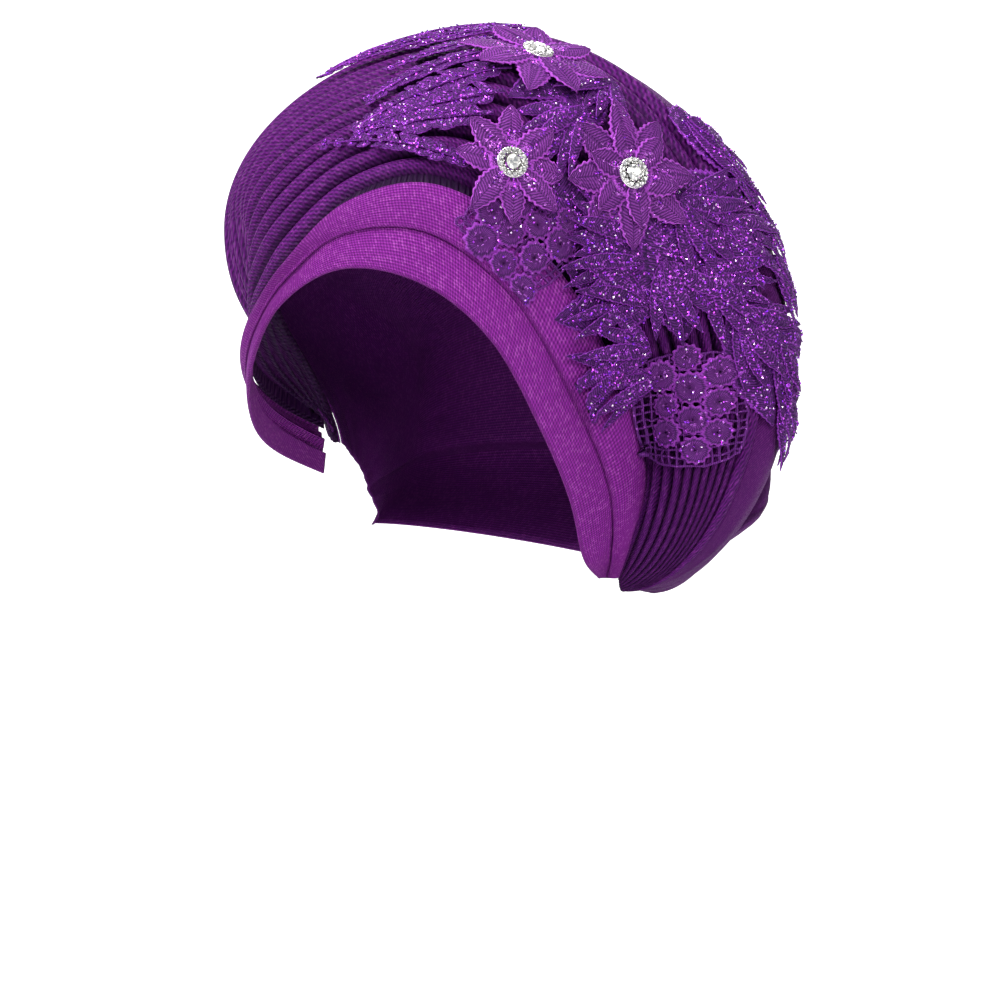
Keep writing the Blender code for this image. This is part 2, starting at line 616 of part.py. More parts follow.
def brooch(name, place, layers, metal, glass):
    """A silver cup with a ring of small cut stones round one larger stone."""
    sag = GAP + BROOCH_SEAT
    seat = seat_matrix(place, LACE_LIFT + (layers - 1) * LAYER_STEP + LACE_WALL + sag)
    stone_radius = BROOCH_RADIUS * CENTRE_STONE_SHARE
    cup_radius = stone_radius + GAP
    rim_middle = (BROOCH_RADIUS + cup_radius) / 2
    pocket = BROOCH_BASE / 2
    cup = ((cup_radius, pocket), (cup_radius, BROOCH_BASE), (BROOCH_RADIUS, BROOCH_BASE),
           (BROOCH_RADIUS, 0))
    setting = turned(name + "_setting", cup, BROOCH_SIDES, metal)
    rim_stone = min((BROOCH_RADIUS - cup_radius) / 2, math.pi * rim_middle / RIM_STONES) - GAP / 2
    stones = bmesh.new()
    for number in range(RIM_STONES):
        angle = 2 * math.pi * number / RIM_STONES
        spot = Matrix.Translation((rim_middle * math.cos(angle), rim_middle * math.sin(angle),
                                   BROOCH_BASE + RIM_STONE_HEIGHT * RIM_STONE_MIDDLE))
        bmesh.ops.create_cone(stones, cap_ends=True, segments=STONE_SIDES, radius1=rim_stone,
                              radius2=rim_stone * TABLE_SHARE, depth=RIM_STONE_HEIGHT * RIM_STONE_DEPTH,
                              matrix=spot)
    ring = finish(name + "_rim_stones", stones, glass)
    ring.hide_render = True
    ring.display_type = "WIRE"
    ring.matrix_world = seat
    setting.matrix_world = seat
    fuse = setting.modifiers.new("rim stones", "BOOLEAN")
    fuse.operation = "UNION"
    fuse.object = ring
    lift = pocket + GAP
    profile = [(stone_radius * out, lift + CENTRE_STONE_HEIGHT * up) for out, up, _ in STONE_SECTION]
    twists = [twist for _, _, twist in STONE_SECTION]
    stone = turned(name + "_stone", profile, STONE_SIDES, glass, twists)
    stone.matrix_world = seat


def build():
    """Make every piece of the head tie."""
    for item in list(bpy.data.objects):
        bpy.data.objects.remove(item)
    band("brow_band", 0.0, BROW_TUCK, brow_outer, BROW_SECTION, BAND_CLOTH)
    band("over_band", 1.0, 2.0, over_outer, OVER_SECTION, BAND_CLOTH)
    pleated_fan(PLEAT_CLOTH)
    crest_roll(PLEAT_CLOTH)
    back_drape(DRAPE_CLOTH)
    for name, width, leaves, spine in SPRAYS:
        spray(name, spine, width, leaves, LACE_THREAD)
    for name, place, turn, columns, rows in NETS:
        net(name, place, turn, columns, rows, NET_THREAD)
    for name, place, turn, radius, petals, layer in FLOWERS:
        flower(name, place, turn, radius, petals, layer, PETAL_THREAD)
    for name, place, layers in BROOCHES:
        brooch(name, place, layers, SILVER, CLEAR_STONE)


build()
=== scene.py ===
# %% [markdown]
# # A tied gele head tie
# A gele is one long piece of stiff woven cloth that is wrapped round the brow, folded into a fan of
# round pleats and tied over the ears. This one is trimmed at the wearer's left front with
# embroidered lace, and each lace flower is pinned with a brooch of cut stones.
#
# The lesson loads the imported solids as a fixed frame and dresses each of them: the cloth and metal
# pieces are modelled where their solids lie. The lace lies on the same form, and some of its leaves
# reach past the lace solids. Lengths are in metres, the wearer faces -Y and +X is the wearer's left.

# %% Load the frame
import math

import bmesh
import bpy
import numpy as np
from mathutils import Matrix, Vector


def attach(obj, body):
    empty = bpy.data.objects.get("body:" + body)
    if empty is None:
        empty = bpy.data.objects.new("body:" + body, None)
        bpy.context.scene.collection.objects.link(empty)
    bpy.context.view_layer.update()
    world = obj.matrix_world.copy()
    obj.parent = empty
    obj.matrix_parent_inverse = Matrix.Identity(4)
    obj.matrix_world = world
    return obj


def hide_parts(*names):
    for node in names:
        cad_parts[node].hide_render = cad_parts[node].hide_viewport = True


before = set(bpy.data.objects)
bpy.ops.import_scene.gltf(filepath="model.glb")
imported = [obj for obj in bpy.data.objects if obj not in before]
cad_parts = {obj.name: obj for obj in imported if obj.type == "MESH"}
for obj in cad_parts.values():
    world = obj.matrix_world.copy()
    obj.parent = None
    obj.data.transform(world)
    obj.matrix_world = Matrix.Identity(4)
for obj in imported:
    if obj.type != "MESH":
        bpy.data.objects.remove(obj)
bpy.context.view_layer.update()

print("solids in the frame:", len(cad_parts))

# %% [markdown]
# ## Camera
# The photograph looks at the head from the wearer's left front, level with the ear tops, from about
# 1.3 m away with a long lens. A long lens keeps the near flowers from looking too big, so the
# camera stands well back and has a narrow view.

# %% Camera
VIEW_TURN = math.radians(35)
VIEW_DISTANCE = 1.3
VIEW_LENS_MM = 110.0
AIM = Vector((0.0192, 0.0134, -0.0268))

towards_camera = Vector((math.sin(VIEW_TURN), -math.cos(VIEW_TURN), 0))
camera_data = bpy.data.cameras.new("camera")
camera_data.lens = VIEW_LENS_MM
camera_data.sensor_width = 36
camera = bpy.data.objects.new("camera", camera_data)
camera.location = AIM + towards_camera * VIEW_DISTANCE
camera.rotation_euler = (math.pi / 2, 0, VIEW_TURN)
bpy.context.scene.collection.objects.link(camera)
bpy.context.scene.camera = camera
print("camera at", [round(x, 3) for x in camera.location])

# %% [markdown]
# ## Studio
# The photograph has a plain white ground. A white floor whose far side curves up into a wall shows
# no horizon, so one turned profile is spun round the object. The object is worn, so it is held up
# over the floor as a head would hold it.

# %% Floor and wall
FLOOR_DROP = 0.34
FLOOR_RADIUS = 2.2
WALL_CURVE = 0.8
WALL_HEIGHT = 1.9


def link(name, bm):
    """Make a bmesh an object of the scene with smooth faces."""
    data = bpy.data.meshes.new(name)
    bm.to_mesh(data)
    bm.free()
    data.shade_smooth()
    piece = bpy.data.objects.new(name, data)
    bpy.context.scene.collection.objects.link(piece)
    return piece


bm = bmesh.new()
bmesh.ops.create_vert(bm, co=(0.001, 0, -FLOOR_DROP))
foot = list(bm.verts)
out = bmesh.ops.extrude_vert_indiv(bm, verts=foot)["verts"]
bmesh.ops.translate(bm, vec=(FLOOR_RADIUS, 0, 0), verts=out)
curve = bmesh.ops.spin(bm, geom=out, cent=(FLOOR_RADIUS, 0, WALL_CURVE - FLOOR_DROP), axis=(0, -1, 0),
                       angle=math.pi / 2, steps=12)["geom_last"]
top = bmesh.ops.extrude_vert_indiv(bm, verts=[v for v in curve if isinstance(v, bmesh.types.BMVert)])
bmesh.ops.translate(bm, vec=(0, 0, WALL_HEIGHT), verts=top["verts"])
bmesh.ops.spin(bm, geom=bm.verts[:] + bm.edges[:], cent=(0, 0, 0), axis=(0, 0, 1), angle=2 * math.pi,
               steps=64, use_merge=True)
bmesh.ops.remove_doubles(bm, verts=bm.verts, dist=0.0005)
bmesh.ops.recalc_face_normals(bm, faces=bm.faces)
studio = link("studio_floor", bm)
print("studio faces:", len(studio.data.polygons))


# %% Material helpers
def material(name):
    """A new node material: its tree, its Principled shader and a short way to add nodes."""
    made = bpy.data.materials.new(name)
    made.use_nodes = True
    tree = made.node_tree
    return made, tree, tree.nodes["Principled BSDF"]


def node(tree, kind, inputs=(), **settings):
    """Add a node, set its properties, and set or link its inputs, given by name or number."""
    made = tree.nodes.new("ShaderNode" + kind)
    for key, value in settings.items():
        setattr(made, key, value)
    for key, value in dict(inputs).items():
        if isinstance(value, bpy.types.NodeSocket):
            tree.links.new(value, made.inputs[key])
        else:
            made.inputs[key].default_value = value
    return made


def maths(tree, operation, *values, clamp=False):
    return node(tree, "Math", dict(enumerate(values)), operation=operation, use_clamp=clamp).outputs[0]


def mixed(tree, share, first, second):
    """Colour between two colours or sockets."""
    made = node(tree, "Mix", data_type="RGBA")
    for key, value in (("Factor", share), ("A", first), ("B", second)):
        socket = [s for s in made.inputs if s.name == key and s.enabled][0]
        if isinstance(value, bpy.types.NodeSocket):
            tree.links.new(value, socket)
        else:
            socket.default_value = (*value, 1) if isinstance(value, tuple) and len(value) == 3 else value
    return [s for s in made.outputs if s.enabled][0]


# %% [markdown]
# ## Light
# The photograph is lit evenly by large soft boxes, brighter from the upper left of the picture, so
# the brow bands glow and the pleats at the lower right fall into shade. The wall gives the white
# ground. It glows a little for the camera's own rays and less for the light that falls on the cloth,
# because a full white tent would wash the folds out.

# %% Studio white and world
WALL_GLOW = 0.92
WALL_FILL = 0.10

paper, tree, shader = material("studio_white")
shader.inputs["Base Color"].default_value = (0.9, 0.9, 0.9, 1)
shader.inputs["Roughness"].default_value = 0.9
glow = node(tree, "LightPath").outputs["Is Camera Ray"]
strength = maths(tree, "MULTIPLY_ADD", glow, WALL_GLOW - WALL_FILL, WALL_FILL)
emission = node(tree, "Emission", {"Color": (1, 1, 1, 1), "Strength": strength})
both = node(tree, "AddShader", {0: shader.outputs[0], 1: emission.outputs[0]})
tree.links.new(both.outputs[0], tree.nodes["Material Output"].inputs["Surface"])
studio.data.materials.append(paper)

world = bpy.data.worlds.new("studio_air")
world.use_nodes = True
world.node_tree.nodes["Background"].inputs["Color"].default_value = (1, 1, 1, 1)
world.node_tree.nodes["Background"].inputs["Strength"].default_value = 0.09
bpy.context.scene.world = world
bpy.context.scene.view_settings.view_transform = "Standard"

# %% Soft boxes
# turn from the camera, elevation, distance, side of the box, power in watts
SOFT_BOXES = (
    ("key", -52, 40, 1.5, 0.60, 24.0),
    ("top", 8, 74, 1.3, 0.60, 9.0),
    ("side", 58, 20, 1.5, 0.60, 1.6),
    ("glint", 16, 30, 1.6, 0.30, 9.0),
    ("rim", 170, 40, 1.6, 0.80, 6.0),
)


def soft_box(name, turn, elevation, distance, side, power):
    angle = VIEW_TURN + math.radians(turn)
    rise = math.radians(elevation)
    away = Vector((math.sin(angle) * math.cos(rise), -math.cos(angle) * math.cos(rise), math.sin(rise)))
    data = bpy.data.lights.new(name, "AREA")
    data.size = side
    data.energy = power
    lamp = bpy.data.objects.new(name, data)
    lamp.location = Vector((0, 0, 0.05)) + away * distance
    lamp.rotation_mode = "QUATERNION"
    lamp.rotation_quaternion = away.to_track_quat("Z", "Y")
    lamp.visible_camera = False
    bpy.context.scene.collection.objects.link(lamp)


for box in SOFT_BOXES:
    soft_box(*box)
print("soft boxes:", len(SOFT_BOXES))

# %% [markdown]
# ## The form of the wrap
# Every fold of a gele is an arch from the tuck over the right ear, over the head, to the tuck over
# the left ear. So a place on the wrap is two numbers: s, from 0 at the right tuck to 1 at the left,
# and fold, which counts the arches from the brow to the nape. A short table gives three points for
# each arch, and smooth curves join them. The same form was used for the solids, so cloth made from
# it lies exactly on them, only with finer steps.

# %% Head and wrap sizes
HEAD_HALF_WIDTH, HEAD_HALF_DEPTH = 0.074, 0.094
HEAD_ROUND_FROM, HEAD_ROUND_RISE = 0.030, 0.160
BROW_RISE, CROWN_RISE = 0.100, 0.070
FAN_OVERHANG, BACK_OVERHANG = 0.046, 0.046
BAND_STANDOFF, BAND_WALL = 0.012, 0.0022
PLEATS, PLEAT_HEIGHT = 10, 0.0034
CREST_HEIGHT, CREST_WIDTH = 0.0050, 0.0095
HEM_WIDTH, HEM_HEIGHT = 0.0050, 0.0006
EXIT_CLEAR, GAP = 0.0045, 0.0004
FAN_SIZE = np.array([HEAD_HALF_WIDTH + FAN_OVERHANG, HEAD_HALF_DEPTH + BACK_OVERHANG,
                     BROW_RISE + CROWN_RISE])

# %% Band stations
# low_turn, low_rise, mid_turn, mid_rise, top_turn, top_rise, standoff
BAND_STATIONS = np.array([
    (-96, -0.14, -96, -0.03, -96, 0.08, 0.25),
    (-60, 0.03, -60, 0.16, -58, 0.26, 0.25),
    (-30, 0.32, -28, 0.42, -26, 0.49, 0.40),
    (-10, 0.53, -6, 0.64, -6, 0.68, 0.70),
    (13, 0.66, 14, 0.80, 16, 0.92, 1.00),
    (36, 0.60, 38, 0.80, 40, 0.98, 1.00),
    (55, 0.38, 60, 0.56, 66, 0.75, 1.00),
    (70, 0.02, 78, 0.16, 88, 0.32, 1.00),
    (80, -0.27, 92, -0.20, 106, -0.14, 1.00),
    (85, -0.50, 95, -0.46, 98, -0.42, 1.00),
    (92, -0.59, 93, -0.59, 94, -0.59, 0.80),
])

# %% Fold arches
# right_x, right_y, right_z, top_x, top_y, top_z, left_x, left_y, left_z
FOLDS = np.array([
    (-0.41, -0.49, 0.52, 0.33, -0.31, 0.85, 0.90, 0.21, 0.14),
    (-0.77, -0.20, 0.54, 0.12, 0.10, 0.99, 1.02, 0.37, 0.19),
    (-0.87, 0.06, 0.51, 0.13, 0.33, 0.98, 1.06, 0.50, 0.15),
    (-0.88, 0.39, 0.42, 0.14, 0.66, 0.85, 0.91, 0.69, 0.12),
    (-0.75, 0.70, 0.26, 0.15, 0.97, 0.47, 0.69, 0.86, 0.06),
    (-0.70, 0.60, -0.07, 0.10, 0.94, -0.03, 0.88, 0.57, -0.20),
    (-0.62, 0.33, -0.22, 0.00, 0.69, -0.29, 0.63, 0.31, -0.36),
])
CREST, RIM, NAPE = 2, 6, 7
# front_turn, rear_turn, front_rise, rear_rise, front_standoff, rear_standoff
RIGHT_TUCK = (-101, -118, 0.00, -0.34, 0.20, 0.60)
LEFT_TUCK = (98, 116, -0.64, -0.64, 0.55, 0.70)
RIGHT_PULL, LEFT_PULL = (0.3, 0.8), (1.0, 0.0)
SIDE_SHARE, ARCH_ROUND = 0.2, 1.6
PLEAT_FULLNESS, CREST_FULLNESS = 0.55, 1.15
CREST_NARROWING, HEM_NARROWING = 0.16, 0.35


# %% Smooth curves through a table
def catmull(rows, at):
    """Smooth curve through the rows of a table, read at row number at."""
    last = len(rows) - 1
    at = np.clip(np.asarray(at, float), 0, last)
    low = np.minimum(at.astype(int), last - 1)
    f = (at - low)[..., None]
    padded = np.concatenate([[2 * rows[0] - rows[1]], rows, [2 * rows[-1] - rows[-2]]])
    before, start, end, after = (padded[low + step] for step in range(4))
    return 0.5 * (2 * start + (end - before) * f + (2 * before - 5 * start + 4 * end - after) * f**2
                  + (3 * start - before - 3 * end + after) * f**3)


# %% Points on the head and on the bands
def on_head(turn, rise, off):
    """Point at a turn in degrees and a height on the head's ellipse, standing off it."""
    height = np.asarray(rise) * BROW_RISE
    round_in = np.clip(height - HEAD_ROUND_FROM, 0, HEAD_ROUND_RISE * 0.98) / HEAD_ROUND_RISE
    k = np.sqrt(1 - round_in**2)
    t = np.radians(turn)
    return np.stack([(HEAD_HALF_WIDTH * k + off) * np.sin(t),
                     -(HEAD_HALF_DEPTH * k + off) * np.cos(t), height + 0 * t], -1)


def band_point(s, w, off):
    """Point on the bands: w is 0 at the face edge, 1 at the groove and 2 at the top edge."""
    row = catmull(BAND_STATIONS, np.asarray(s) * (len(BAND_STATIONS) - 1))
    upper = np.asarray(w) > 1
    share = np.where(upper, w - 1, w)
    start_turn = np.where(upper, row[..., 2], row[..., 0])
    start_rise = np.where(upper, row[..., 3], row[..., 1])
    end_turn, end_rise = np.where(upper, row[..., 4], row[..., 2]), np.where(upper, row[..., 5], row[..., 3])
    turn = start_turn + (end_turn - start_turn) * share
    return on_head(turn, start_rise + (end_rise - start_rise) * share, off)


def standoff(s):
    return catmull(BAND_STATIONS, np.asarray(s) * (len(BAND_STATIONS) - 1))[..., 6] * BAND_STANDOFF


def over_outer(s, w):
    return standoff(s) * (2 + (w - 1)) / 3


def brow_outer(s, w):
    under = over_outer(s, np.maximum(w, 1)) - BAND_WALL - GAP
    share = np.clip(w, 0, 1)
    return standoff(s) / 3 * (1 - share) + under * share


# %% One arch of the wrap
def quarter(start, start_pull, end, end_pull, share):
    """Rounded stretch of an arch between two points."""
    f = share[..., None]
    return (start * (1 - 3 * f**2 + 2 * f**3) + start_pull * (f - 2 * f**2 + f**3)
            + end * (3 * f**2 - 2 * f**3) + end_pull * (f**3 - f**2))


def tuck_point(tuck, share):
    front_turn, rear_turn, front_rise, rear_rise, front_off, rear_off = tuck
    off = (front_off + (rear_off - front_off) * share) * BAND_STANDOFF
    return on_head(front_turn + (rear_turn - front_turn) * share,
                   front_rise + (rear_rise - front_rise) * share**2, off)


def fold_arch(number, s):
    """One fold of the wrap: its points at shares s of the way from tuck to tuck."""
    right, top, left = (FOLDS[number][3 * j:3 * j + 3] * FAN_SIZE for j in range(3))
    share = number / (len(FOLDS) - 1)
    up = top - (right + left) / 2
    up[0] = 0
    up /= np.linalg.norm(up)
    along = (left - right) - up * ((left - right) @ up)
    along /= np.linalg.norm(along)
    halves = []
    ends = ((right, RIGHT_TUCK, RIGHT_PULL, s, 1), (left, LEFT_TUCK, LEFT_PULL, 1 - s, -1))
    for side, tuck, pull, at, sign in ends:
        foot_point = tuck_point(tuck, share)
        lift = (side - foot_point) @ up * up
        leave = ARCH_ROUND * (pull[0] * (side - foot_point - lift) + pull[1] * lift)
        low = quarter(foot_point, leave, side, ARCH_ROUND * lift, np.clip(at / SIDE_SHARE, 0, 1))
        rise = ARCH_ROUND * ((top - side) @ up) * up
        reach = ARCH_ROUND * abs((top - side) @ along) * along * sign
        high = quarter(side, rise, top, reach, np.clip((at - SIDE_SHARE) / (0.5 - SIDE_SHARE), 0, 1))
        halves.append(np.where((at < SIDE_SHARE)[..., None], low, high))
    return np.where((s <= 0.5)[..., None], halves[0], halves[1])


# %% The whole wrap
def wrap(s, fold):
    """The wrap's smooth form. Fold 0 leaves the over band's top edge, and 1 to 7 are the arches."""
    s, fold = np.broadcast_arrays(np.asarray(s, float), np.asarray(fold, float))
    band_width = np.linalg.norm(band_point(s, 2.0, 0.0) - band_point(s, 1.0, 0.0), axis=-1)
    exit_row = band_point(s, 2 + EXIT_CLEAR / band_width, over_outer(s, 2.0) - BAND_WALL - GAP)
    arches = np.stack([exit_row] + [fold_arch(i, s) for i in range(len(FOLDS))])
    padded = np.concatenate([[2 * arches[0] - arches[1]], arches, [2 * arches[-1] - arches[-2]]])
    low = np.minimum(np.clip(fold, 0, NAPE).astype(int), NAPE - 1)
    f = (fold - low)[..., None]
    before, start, end, after = (np.take_along_axis(padded, (low + step)[None, ..., None], 0)[0]
                                 for step in range(4))
    return 0.5 * (2 * start + (end - before) * f + (2 * before - 5 * start + 4 * end - after) * f**2
                  + (3 * start - before - 3 * end + after) * f**3)


# %% A fine table of the wrap
# Reading slopes and normals from one table of points is much quicker than working them out anew.
TABLE_S, TABLE_FOLD = 601, 281
table_s = np.linspace(0, 1, TABLE_S)
table_fold = np.linspace(0, NAPE, TABLE_FOLD)
WRAP = wrap(table_s[:, None], table_fold[None, :])
WRAP_ACROSS = np.gradient(WRAP, table_fold, axis=1)
WRAP_NORMAL = np.cross(np.gradient(WRAP, table_s, axis=0), WRAP_ACROSS)
WRAP_NORMAL /= np.linalg.norm(WRAP_NORMAL, axis=-1)[..., None]
WRAP_PITCH = np.linalg.norm(WRAP_ACROSS, axis=-1)[..., None]


def read_table(values, s, fold, low_fold=0.0, high_fold=float(NAPE)):
    """Value of a table at a place, between its four nearest entries."""
    rows, columns = values.shape[:2]
    a = np.clip(s, 0, 1) * (rows - 1)
    b = (np.clip(fold, low_fold, high_fold) - low_fold) / (high_fold - low_fold) * (columns - 1)
    i, j = np.minimum(a.astype(int), rows - 2), np.minimum(b.astype(int), columns - 2)
    u, v = (a - i)[..., None], (b - j)[..., None]
    return ((values[i, j] * (1 - u) + values[i + 1, j] * u) * (1 - v)
            + (values[i, j + 1] * (1 - u) + values[i + 1, j + 1] * u) * v)


def wrap_normal(s, fold):
    n = read_table(WRAP_NORMAL, s, fold)
    return n / np.linalg.norm(n, axis=-1)[..., None]


def fold_width(s, fold):
    """Length on the wrap of one whole fold number at this place."""
    return read_table(WRAP_PITCH, s, fold)[..., 0]


print("wrap table:", WRAP.shape, "widest", round(float(np.ptp(WRAP[..., 0])) * 1000), "mm")


# %% Heights of pleats and crest
def crest_half(s):
    return np.minimum(CREST_WIDTH / 2 / fold_width(s, CREST + 0 * s), CREST_NARROWING)


def pleat_height(s, fold):
    return np.minimum(PLEAT_HEIGHT, PLEAT_FULLNESS * fold_width(s, fold) * CREST / PLEATS)


def crest_height(s):
    return np.minimum(CREST_HEIGHT, CREST_FULLNESS * crest_half(s) * fold_width(s, CREST + 0 * s))


def lifted(s, fold, height):
    return wrap(s, fold) + wrap_normal(s, fold) * np.asarray(height)[..., None]


# %% [markdown]
# ## Cloth from a grid
# Each cloth piece starts as a flat grid, as the real one starts as flat cloth. The grid's two
# directions become the wrap's two numbers, and a UV map spreads one guessed length and width over the
# cloth, so that the weave follows the folds. Its scale is rough, above all where a band narrows, since
# the guess is one size for the whole piece. A Solidify modifier gives the wall.

# %% Grid to cloth
def cloth(name, columns, rows, place, wall, length, width, crease=None):
    """Make a grid, move it to place(u, v), spread length and width over it as UV, keep a mask of painted
    valley shade as a second UV map, and give it a wall.
    """
    bm = bmesh.new()
    bmesh.ops.create_grid(bm, x_segments=columns, y_segments=rows, size=0.5)
    piece = link(name, bm)
    data = piece.data
    flat = np.zeros(len(data.vertices) * 3)
    data.vertices.foreach_get("co", flat)
    u, v = flat.reshape(-1, 3)[:, 0] + 0.5, flat.reshape(-1, 3)[:, 1] + 0.5
    data.vertices.foreach_set("co", place(u, v).ravel())
    corners = np.zeros(len(data.loops), int)
    data.loops.foreach_get("vertex_index", corners)
    uv = data.uv_layers.new(name="flat_cloth")
    uv.data.foreach_set("uv", np.stack([u[corners] * length, v[corners] * width], -1).ravel())
    depth = (0 * u if crease is None else crease(u, v))[corners]
    data.uv_layers.new(name="crease").data.foreach_set("uv", np.stack([depth, depth], -1).ravel())
    data.update()
    skin = piece.modifiers.new("wall", "SOLIDIFY")
    skin.thickness = wall
    skin.offset = -1
    return piece, u, v


def measured(piece):
    """Area of the cloth, in square metres, counted once."""
    return sum(face.area for face in piece.data.polygons)


def dress(piece, slot, *nodes):
    """The piece moves with the object and stands for its solids; its slot is not used."""
    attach(piece, "root")
    if nodes:
        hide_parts(*nodes)


# %% [markdown]
# ## The brow bands
# The cloth is folded on itself to make a soft band, wrapped once over the brow and once more over
# that. Each band shows a rounded fold along its lower edge. The grid runs down the band's inside,
# round the fold and up its outside, so the fold is real and the face opening shows a finished edge.

# %% Band section
BAND_INSIDE_FROM = 0.55    # the turned-in cloth ends this far up the inside
FOLD_SHARE = 0.10          # share of the grid that makes the rounded fold
BAND_SKIN = 0.0006
BAND_BULGE = 0.0011        # how far a band swells between its two edges


def band_section(v, first_w, last_w):
    """Where each row of a band's grid lies: its w, and its depth under the outer face, 0 to 1."""
    inside = np.clip((0.5 - FOLD_SHARE - v) / (0.5 - FOLD_SHARE), 0, 1)
    outside = np.clip((v - 0.5 - FOLD_SHARE) / (0.5 - FOLD_SHARE), 0, 1)
    turn = np.clip((v - 0.5 + FOLD_SHARE) / (2 * FOLD_SHARE), 0, 1) * math.pi
    depth = (1 + np.cos(turn)) / 2
    w = first_w + (last_w - first_w) * (outside + inside * BAND_INSIDE_FROM)
    return w, depth, np.sin(turn), outside


def band_place(first_w, last_w, nominal, ripple):
    def place(u, v):
        w, depth, nose, outside = band_section(v, first_w, last_w)
        width = np.linalg.norm(band_point(u, last_w, 0.0) - band_point(u, first_w, 0.0), axis=-1)
        nose_w = nose * np.minimum(BAND_WALL * 0.5, width * 0.2) / np.maximum(width, 0.002)
        swell = BAND_BULGE * np.sin(np.pi * np.clip(outside * 1.05, 0, 1))**0.7 * (outside > 0)
        off = nominal(u, w) - depth * (BAND_WALL - BAND_SKIN) + swell
        off += ripple(u, outside) * (outside > 0)
        return band_point(u, w - nose_w * (last_w - first_w), off)
    return place


def soft_creases(u, outside):
    """Slow waves along the band, which no hand-tied cloth is without."""
    wave = np.sin(u * 31 + 2 * outside) * 0.5 + np.sin(u * 57 - 3 * outside + 1) * 0.3
    return 0.00035 * wave * np.sin(np.pi * np.clip(outside, 0, 1))


BAND_LENGTH = 0.375
brow, _, _ = cloth("brow_wrap", 400, 52, band_place(0.0, 1.30, brow_outer, soft_creases),
                   BAND_SKIN, BAND_LENGTH, 0.062)
over_place = band_place(1.0, 2.0, over_outer, lambda u, o: soft_creases(u + 0.3, o))
over, _, _ = cloth("over_wrap", 400, 48, over_place, BAND_SKIN, BAND_LENGTH, 0.048)
print("brow wrap", round(measured(brow), 4), "over wrap", round(measured(over), 4), "square metres")

# %% [markdown]
# ## The pleated fan
# Ten round pleats stand side by side like cords, with deep valleys between them. Each pleat's
# section is a half circle, drawn with its points close together near the valleys, where the bend is
# tightest. Towards the tucks the pleats are drawn together, so they get narrower and lower.

# %% Fan
PLEAT_STEPS = 14
VALLEY_DEPTH = 0.0028
VALLEY_SHARE = 0.30        # most depth of a valley for its pleat's pitch
FIRST_PLEAT_SHARE = 0.5
TONGUE_SHARE = 0.03        # share of the grid that lies hidden under the over band
FAN_SKIN = 0.0007


def fan_place(u, v):
    """Fan cloth: hidden under the over band first, then pleat by pleat to the crest."""
    end = CREST - crest_half(u)
    end = end - GAP / fold_width(u, end)
    run = np.clip((v - TONGUE_SHARE) / (1 - TONGUE_SHARE), 0, 1) * PLEATS
    number = np.minimum(np.floor(run), PLEATS - 1)
    turn = (run - number) * math.pi
    share = (1 - np.cos(turn)) / 2
    share = 0.45 * share + 0.55 * (run - number)
    sway = 0.05 * np.sin(u * 23 + number * 2.1) * np.sin(np.pi * u)
    fold = end * (number + share) / PLEATS
    fold = fold + sway * np.sin(np.pi * run / PLEATS) * end / PLEATS
    first = np.where(number < 1, FIRST_PLEAT_SHARE, 1.0)
    vary = 1 + 0.05 * np.sin(number * 4.7 + u * 9)
    depth = np.minimum(VALLEY_DEPTH, VALLEY_SHARE * fold_width(u, fold) * CREST / PLEATS)
    height = (pleat_height(u, fold) * first * vary + depth) * np.sin(turn)**0.75 - depth
    on_fan = lifted(u, fold, height)
    w = 1.70 + 0.28 * np.clip(v / TONGUE_SHARE, 0, 1)
    hidden = band_point(u, w, over_outer(u, w) - BAND_WALL - GAP)
    return np.where((v < TONGUE_SHARE)[..., None], hidden, on_fan)


def fan_valley_shade(u, v):
    """Painted valley shade: 1 at the bottom of a valley and 0 on the crowns."""
    run = np.clip((v - TONGUE_SHARE) / (1 - TONGUE_SHARE), 0, 1) * PLEATS
    return np.clip(1.15 - 1.25 * np.abs(np.sin(np.pi * run)), 0, 1)


fan, _, _ = cloth("pleat_folds", 220, PLEATS * PLEAT_STEPS + 3, fan_place, FAN_SKIN, 0.60, 0.17, fan_valley_shade)
print("fan", round(measured(fan), 4), "square metres")

# %% Crest
CREST_SKIN = 0.0008


def crest_place(u, v):
    half = crest_half(u)
    turn = v * math.pi
    fold = CREST - half * np.cos(turn)
    return lifted(u, fold, crest_height(u) * np.sin(turn)**0.8)


crest, _, _ = cloth("crest_fold", 240, 24, crest_place, CREST_SKIN, 0.60, 0.016)
print("crest", round(measured(crest), 4), "square metres")

# %% [markdown]
# ## The drape behind the crest
# Behind the crest the cloth lies smooth over the back of the head and ends in a narrow woven edge
# that is turned in under the nape. Near the tucks it gathers into faint lines that fan out.

# %% Drape
DRAPE_SKIN = 0.0009
HEM_FROM, HEM_TO = 0.80, 0.86   # shares of the grid that make the hem


def drape_place(u, v):
    start = CREST + crest_half(u)
    start = start + GAP / fold_width(u, start)
    hem = np.minimum(HEM_WIDTH / fold_width(u, RIM - 0.2 + 0 * u), HEM_NARROWING)
    body = np.clip(v / HEM_FROM, 0, 1)
    on_hem = np.clip((v - HEM_FROM) / (HEM_TO - HEM_FROM), 0, 1)
    turned_in = np.clip((v - HEM_TO) / (1 - HEM_TO), 0, 1)
    fold = start + (RIM - hem - start) * body + hem * on_hem + turned_in
    raised = HEM_HEIGHT * np.clip(4 * on_hem, 0, 1) * np.clip(4 - 4 * turned_in * 6, 0, 1)
    near_tuck = np.exp(-((1 - u) / 0.10)**2) + 0.6 * np.exp(-(u / 0.08)**2)
    gather = 0.0009 * near_tuck * np.sin(fold * 11 + 3 * u) * np.clip(fold_width(u, fold) / 0.03, 0, 1)
    slack = 0.0006 * np.sin(u * 17 + fold * 2.3) * np.sin(np.pi * np.clip(v, 0, 1))
    return lifted(u, fold, raised + gather + slack)


